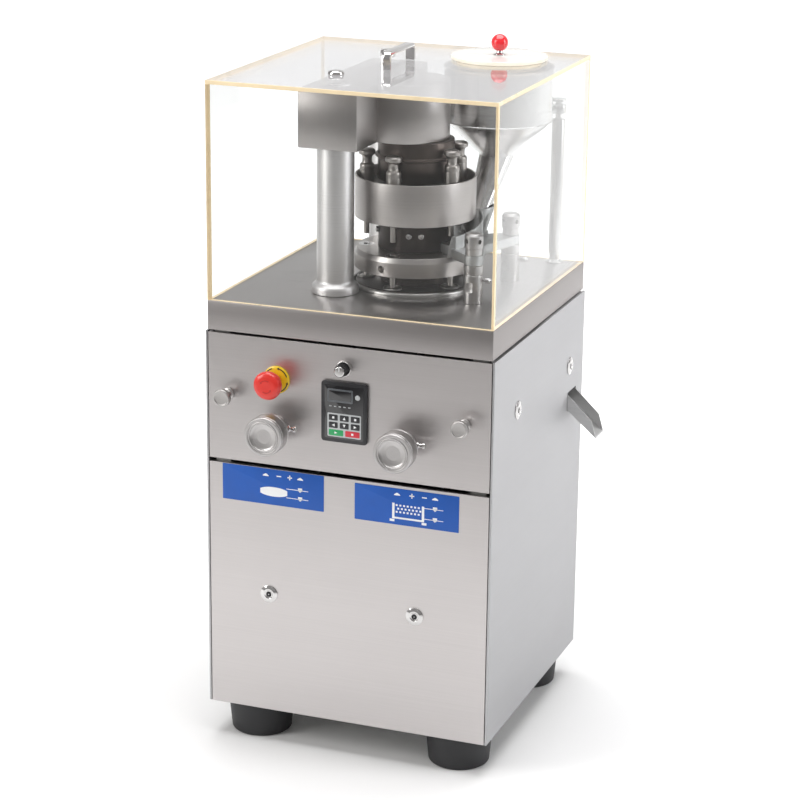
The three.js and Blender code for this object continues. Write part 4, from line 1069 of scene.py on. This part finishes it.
def arrow_mark(face, radius, stand_off, start, sweep=80, thick=1.4):
    """A curved arrow showing which way the button turns."""
    outer = arc((0, 0), radius + 0.8 * MM, start, start + sweep, 10)
    inner = arc((0, 0), radius - 0.8 * MM, start + sweep, start, 10)
    head_sweep = 200 * MM / radius  # in degrees: a head about 3.5 mm long at any radius
    tip_angle = math.radians(start + sweep + head_sweep)
    tip = (radius * math.cos(tip_angle), radius * math.sin(tip_angle))
    end = math.radians(start + sweep)
    barb_out = ((radius + 2.2 * MM) * math.cos(end), (radius + 2.2 * MM) * math.sin(end))
    barb_in = ((radius - 2.2 * MM) * math.cos(end), (radius - 2.2 * MM) * math.sin(end))
    outline = [*outer, barb_out, tip, barb_in, *inner]
    return extrude("arrow_mark", outline, -stand_off, -stand_off + thick * MM, "y", 0, face)


def build_handwheels():
    for node in ("pressure_handwheel", "fill_handwheel"):
        face = Vector((mid(node).x, FRONT_Y, mid(node).z))
        back = (FRONT_Y - high(node).y) / MM
        worm_r = 15 if node.startswith("pressure") else 14.4
        worm_ends = (-210, -260) if node.startswith("pressure") else (-150, -170)
        profile = [
            (0, 57.5), (12, 57.5), (20, 58.6), (22.5, 60.2), (23.2, 61.8), (25, 62), (25.4, 61), (26.4, 61),
            (26.8, 62),
            (30.5, 62), (32, 60.4), (32, 57), (31.2, 56.4), (31.2, 55.6), (32, 55), (32, 37), (31.2, 36.4),
            (31.2, 35.6),
            (32, 35), (32, 33.4), (30.6, 32), (13, 32), (13, 7), (8, 7), (8, worm_ends[0] + 2),
            (worm_r, worm_ends[0]),
            (worm_r, worm_ends[1]), (8, worm_ends[1] - 2), (8, back), (0, back),
        ]
        wheel = lathe(node + "_turned", profile, face, "y", round_by=0.5, turns=128)
        steel = turned(node + "_steel", (0.52, 0.505, 0.50), face, (0.26, 0.38), "y", 700, 0.12)
        stand_for(wheel, node, steel)
        spot = face + Vector((0, -16, 4)) * MM
        screw = lathe(
            node + "_locking_screw",
            [(0, 10), (3, 10), (3, 24), (5.5, 24.5), (5.5, 27.5), (3.4, 28.5), (3.4, 33), (5, 34), (5, 38),
                (0, 38)],
            spot, "x", round_by=0.4, turns=40,
        )
        add_on(screw, node, chrome)


def build_panel_knobs():
    for node in ("panel_knob_left", "panel_knob_right"):
        face = Vector((mid(node).x, FRONT_Y, mid(node).z))
        profile = [
            (0, 30), (10.4, 30), (11.2, 31), (13, 31), (14.5, 29.5), (14.5, 23), (12.8, 21.4), (8.6, 17),
            (6.4, 12),
            (6.2, 5), (10, 3.2), (10, 0.3), (4, 0.3), (4, -8), (0, -8),
        ]
        knob = lathe(node + "_turned", profile, face, "y", round_by=0.6, turns=96)
        steel = turned(node + "_steel", (0.50, 0.485, 0.475), face, (0.28, 0.4), "y", 700, 0.12)
        stand_for(knob, node, steel)


def build_speed_dial():
    node = "speed_dial"
    face = Vector((mid(node).x, FRONT_Y, mid(node).z))
    bezel = lathe(
        "dial_bezel", [(10.4, 0.4), (13.5, 0.4), (13.5, 3), (12.4, 8), (10.4, 8)], face, "y", closed=True,
        round_by=0.5, turns=80,
    )
    add_on(bezel, "control_panel", chrome)
    flutes = 24
    outline = []
    for i in range(flutes * 4):
        angle = 2 * math.pi * i / (flutes * 4)
        radius = (10.0 - (0.8 if i % 4 in (1, 2) else 0)) * MM
        outline.append((radius * math.cos(angle), radius * math.sin(angle)))
    skirt = extrude("skirt", outline, -22 * MM, -2 * MM, "y", 0.3 * MM, face)
    cap = lathe("cap", [(0, 25), (7.2, 25), (8.4, 24), (8.4, 21), (0, 21)], face, "y", round_by=0.5, turns=64)
    spindle = lathe("spindle", [(0, 3), (4.5, 3), (4.5, -14), (0, -14)], face, "y", turns=32)
    pointer = slab("pointer", face + Vector((-0.7, -25.4, 1)) * MM, face + Vector((0.7, -24.5, 7)) * MM,
        0.2 * MM)
    for part in (skirt, spindle):
        paint(part, black_plastic)
    paint(cap, chrome)
    paint(pointer, sticker_white)
    stand_for(join("dial_knob", [skirt, cap, spindle, pointer]), node)


def build_keypad():
    node = "speed_controller"
    a = low(node)
    b = high(node)
    face = a.y
    shell = extrude("shell", rounded_rectangle(a.x, b.x, a.z, b.z, 5 * MM), face + 0.6 * MM,
        FRONT_Y - 0.3 * MM, "y", 1 * MM)
    drive = slab("drive", (a.x + 4.3 * MM, FRONT_Y - 1 * MM, a.z + 4.3 * MM),
        (b.x - 4.3 * MM, b.y, b.z - 4.3 * MM), 1.5 * MM)
    paint(shell, black_plastic)
    paint(drive, black_plastic)
    parts = [shell, drive]

    def panel(x0, x1, z0, z1, depth, material, radius=1.0):
        outline = rounded_rectangle(a.x + x0 * MM, a.x + x1 * MM, a.z + z0 * MM, a.z + z1 * MM, radius * MM)
        made = extrude("panel", outline, face + (0.6 - depth) * MM, face + 1.2 * MM, "y", 0.2 * MM)
        parts.append(paint(made, material))

    panel(6, 72, 6, 94, 0.15, window_glass, 2)
    panel(11, 54, 66, 88, 0.35, display_grey, 1.5)
    panel(13.5, 51.5, 69, 85, 0.5, window_glass, 1)
    panel(11, 68, 9, 48, 0.35, key_silver, 1.5)
    for row in range(1, 3):
        for column in range(3):
            x0 = 13.5 + column * 18.6
            z0 = 11 + row * 12.4
            panel(x0, x0 + 15.2, z0, z0 + 9.8, 0.6, black_plastic, 1.2)
            parts.append(key_glyph(a, face, x0 + 7.6, z0 + 4.9, row * 3 + column))
    for x0, colour, kind in ((13.5, key_green, 1), (41.4, key_red, 2)):
        panel(x0, x0 + 24.5, 11, 20.8, 0.6, colour, 1.2)
        parts.append(key_glyph(a, face, x0 + 12.2, 15.9, kind))
    for lamp in range(5):
        panel(14 + lamp * 8, 18 + lamp * 8, 58.5, 60, 0.45, key_silver, 0.4)
    whole = join("keypad_panel", parts)
    stand_for(whole, node)
    knob = lathe(
        "keypad_trimmer", [(0, 0.5), (3, 0.5), (4.4, 0), (4.4, -0.4), (5.6, -0.8), (0, -0.8)],
        Vector((a.x + 62 * MM, face + 0.5 * MM, a.z + 77 * MM)), "y", round_by=0.2, turns=40,
    )
    add_on(knob, node, key_silver)


def key_glyph(corner, face, x, z, kind):
    """A small generic sign on a key: an arrow, a bar or a small square."""
    size = 2.4
    shapes = {
        0: [(-size, -1), (size, -1), (size, 1), (-size, 1)],
        3: [(-size, 0), (size, -size), (size, size)],
        5: [(size, 0), (-size, size), (-size, -size)],
        4: [(0, -size), (size, size), (-size, size)],
        7: [(0, size), (-size, -size), (size, -size)],
        1: [(-size, -size * 0.8), (size, 0), (-size, size * 0.8)],
    }
    outline = shapes.get(kind, [(-1.8, -1.8), (1.8, -1.8), (1.8, 1.8), (-1.8, 1.8)])
    points = [(corner.x + (x + dx) * MM, corner.z + (z + dz) * MM) for dx, dz in outline]
    return paint(extrude("glyph", points, face - 0.15 * MM, face + 0.3 * MM, "y", 0), sticker_white)


display_grey = plastic("display_frame", (0.10, 0.11, 0.12), 0.35)


def build_small_extras():
    """Left-side lock faces, and the cable gland on the rear panel."""
    left = low("side_panel_left").x
    for number, lock in enumerate(("side_lock_front", "side_lock_rear"), 1):
        place = Vector((left, mid(lock).y, low(lock).z + 15 * MM))
        face = lathe(
            f"left_lock_{number}",
            [(0, -0.6), (4.6, -1.9), (6.6, -2.2), (7.4, -3.0), (9.5, -3.0), (15, -1.2), (15, -0.1),
                (0, -0.1)],
            place, "x", round_by=0.3, turns=64,
        )
        add_on(face, "side_panel_left", chrome)
    rear = high("rear_panel").y
    place = Vector((low("rear_panel").x + 70 * MM, rear, low("rear_panel").z + 60 * MM))
    gland = lathe(
        "cable_gland",
        [(0, -10), (4, -10), (6, -9.5), (9, -9), (10.5, -7), (10.5, -3.5), (13, -3.2), (13, -0.1), (0, -0.1)],
        place, "y", round_by=0.4, turns=48,
    )
    add_on(gland, "rear_panel", black_plastic)


# ------------------------------------------------------------------ stickers on the door
def build_stickers():
    node_low = low("lower_door")
    left_x = node_low.x
    build_sticker("pressure_sticker", left_x + 23 * MM, left_x + 200 * MM, high("lower_door").z,
        pressure_icons)
    build_sticker("fill_sticker", left_x + 253 * MM, left_x + 429 * MM, high("lower_door").z - 4 * MM,
        fill_icons)


def build_sticker(name, x0, x1, top, icons):
    z1 = top - 0.5 * MM
    z0 = top - 61 * MM
    outline = rounded_rectangle(x0, x1, z0, z1, 1.0 * MM)
    base = extrude(name, outline, FRONT_Y - 0.45 * MM, FRONT_Y - 0.05 * MM, "y", 0.1 * MM)
    add_on(base, "lower_door", sticker_blue)
    whole = join(name + "_icons", icons(x0, z0))
    add_on(whole, "lower_door", sticker_white)


def mark(points, x0, z0):
    moved = [(x0 + x * MM, z0 + z * MM) for x, z in points]
    return extrude("mark", moved, FRONT_Y - 0.6 * MM, FRONT_Y - 0.3 * MM, "y", 0)


def bar(x0, x1, z0, z1):
    return [(x0, z0), (x1, z0), (x1, z1), (x0, z1)]


def roof(x, z):
    """A flat arrow head over a short bar."""
    return [(x - 5, z), (x + 5, z), (x + 5, z + 1.4), (x + 1, z + 4.2), (x - 1, z + 4.2), (x - 5, z + 1.4)]


def shield(x, z):
    return [(x - 3.6, z - 1), (x, z - 4), (x + 3.6, z - 1), (x + 3.6, z + 3.4), (x - 3.6, z + 3.4)]


def sign_row(x0, z0, minus, plus, roofs, level):
    """A row of signs that says which way is less and which is more."""
    signs = [
        mark(bar(minus - 4, minus + 4, level, level + 1.8), x0, z0),
        mark(bar(plus - 4, plus + 4, level, level + 1.8), x0, z0),
        mark(bar(plus - 0.9, plus + 0.9, level - 3, level + 4.8), x0, z0),
    ]
    return signs + [mark(roof(x, level - 1), x0, z0) for x in roofs]


def setting_lines(x0, z0, start, end, levels):
    lines = [mark(bar(start, end, level, level + 1.0), x0, z0) for level in levels]
    return lines + [mark(shield(136, level + 1), x0, z0) for level in levels]


def pressure_icons(x0, z0):
    top = [(90 + 26 * math.cos(a), 23 + 7.5 * math.sin(a)) for a in (math.radians(d) for d in range(25, 156,
        10))]
    bottom = [(90 + 26 * math.cos(a), 22 - 7.5 * math.sin(a)) for a in (math.radians(d) for d in range(155,
        24, -10))]
    rows = [mark(top + bottom, x0, z0)]
    rows += setting_lines(x0, z0, 112, 150, (30, 15))
    return rows + sign_row(x0, z0, 99, 118, (76, 136), 49)


def fill_icons(x0, z0):
    rows = [mark(bar(64, 118, 10, 13), x0, z0), mark(bar(64, 68, 13, 36), x0, z0),
        mark(bar(114, 118, 13, 36), x0, z0)]
    rows += [mark(bar(60, 68, 5, 9), x0, z0), mark(bar(114, 122, 5, 9), x0, z0)]
    for row in range(3):
        for column in range(7):
            x = 70 + column * 6.2 + (row % 2) * 2.6
            z = 20 + row * 5.6
            rows.append(mark(bar(x, x + 3.2, z, z + 3.0), x0, z0))
    rows += setting_lines(x0, z0, 118, 150, (33, 15))
    return rows + sign_row(x0, z0, 118, 97, (72, 136), 50)


# ------------------------------------------------------------------ studio
def build_studio():
    """A pale floor with painted light. In front of the press its colour falls away to a painted dark grey, so
    the metal reflects shade there. Behind the press it glows (emission) up to white, standing in for lamps on
    the far floor.
    """
    bm = bmesh.new()
    bmesh.ops.create_grid(bm, x_segments=1, y_segments=1, size=30)
    floor = finish_mesh("studio_floor", bm)
    tree = Tree("floor_paper")
    place = tree.object_place()
    depth = tree.add("SeparateXYZ", Vector=place).outputs["Y"]
    ahead = tree.add("MapRange", {"interpolation_type": "SMOOTHSTEP"}, Value=depth)
    ahead.inputs["From Min"].default_value = -3.4
    ahead.inputs["From Max"].default_value = -0.7
    behind = tree.add("MapRange", {"interpolation_type": "SMOOTHSTEP"}, Value=depth)
    behind.inputs["From Min"].default_value = 0.0
    behind.inputs["From Max"].default_value = 3.0
    speckle = tree.math("MULTIPLY", tree.noise(place, 60.0, 3.0), 0.04)
    floor_shade_and_speckle = tree.math("ADD", ahead.outputs[0], speckle)
    # The darker base colour in front is painted shade, and the emission behind is painted light. The speckle
    # is the floor's own.
    tree.set(
        Base_Color=tree.ramp(floor_shade_and_speckle, [(0.0, (0.22, 0.215, 0.21)), (1.0, (0.88, 0.88, 0.88))]),
        Emission_Color=(1, 1, 1, 1),
        Emission_Strength=tree.math("MULTIPLY", behind.outputs[0], 0.8),
        Roughness=0.7,
    )
    paint(floor, tree.material)
    world = bpy.data.worlds.new("studio")
    bpy.context.scene.world = world
    world.use_nodes = True
    back = world.node_tree.nodes["Background"]
    back.inputs["Color"].default_value = (1.0, 0.98, 0.97, 1)
    back.inputs["Strength"].default_value = 0.36
    build_backdrop()
    add_light("overhead", (0.0, 0.2, 3.6), (3.0, 3.0), 140, (1, 1, 1))
    add_light("key_strip", (-2.5, -2.3, 2.0), (1.3, 2.4), 62, (1.0, 0.99, 0.97))
    add_light("side_strip", (3.2, 0.4, 1.8), (0.8, 2.2), 40, (0.97, 0.98, 1.0))


def build_backdrop():
    """A pale wall far behind the press, for the clear guard and the table to reflect."""
    wall = slab("studio_backdrop", (-18, 14, 0), (12, 14.1, 10), 0)
    tree = Tree("backdrop_paper")
    cloud = tree.noise(tree.object_place(), 0.4, 2.0)
    tree.set(
        Base_Color=tree.ramp(cloud, [(0.3, (0.66, 0.66, 0.66)), (0.7, (0.70, 0.70, 0.70))]),
        Emission_Color=(1, 1, 1, 1),
        Emission_Strength=tree.between(cloud, 0.25, 0.4),
        Roughness=0.8,
    )
    paint(wall, tree.material)


def add_light(name, place, size, watts, colour):
    data = bpy.data.lights.new(name, "AREA")
    data.shape = "RECTANGLE"
    data.size, data.size_y = size
    data.energy = watts
    data.color = colour
    light = bpy.data.objects.new(name, data)
    light.location = place
    aim = Vector((0, 0, 0.6)) - Vector(place)
    light.rotation_euler = aim.to_track_quat("-Z", "Y").to_euler()
    bpy.context.collection.objects.link(light)


def build_camera():
    azimuth = math.radians(20.493)
    elevation = math.radians(17.134)
    roll = math.radians(0.663)
    back = Vector((
        math.sin(azimuth) * math.cos(elevation), -math.cos(azimuth) * math.cos(elevation),
        math.sin(elevation),
    ))
    level = Vector((math.cos(azimuth), math.sin(azimuth), 0))
    up = back.cross(level)
    right = level * math.cos(roll) + up * math.sin(roll)
    above = up * math.cos(roll) - level * math.sin(roll)
    data = bpy.data.cameras.new("camera")
    data.sensor_width = 36
    data.lens = 112.35
    camera = bpy.data.objects.new("camera", data)
    turn = Matrix((right, above, back)).transposed()
    camera.matrix_world = Matrix.Translation((1.3659, -3.6953, 1.7702)) @ turn.to_4x4()
    bpy.context.collection.objects.link(camera)
    bpy.context.scene.camera = camera


def main():
    build_camera()
    dress_kept_nodes()
    build_feet()
    build_table()
    build_locks()
    build_columns()
    build_head()
    build_cam_drum()
    build_die_table()
    build_upper_turret()
    build_guard_ring()
    build_punches()
    build_posts()
    build_hopper()
    build_stand()
    build_feeder()
    build_small_extras()
    build_guard()
    build_lid()
    build_handle()
    build_emergency_stop()
    build_handwheels()
    build_panel_knobs()
    build_speed_dial()
    build_keypad()
    build_stickers()
    build_studio()
    bpy.context.scene.view_settings.view_transform = "Standard"


main()
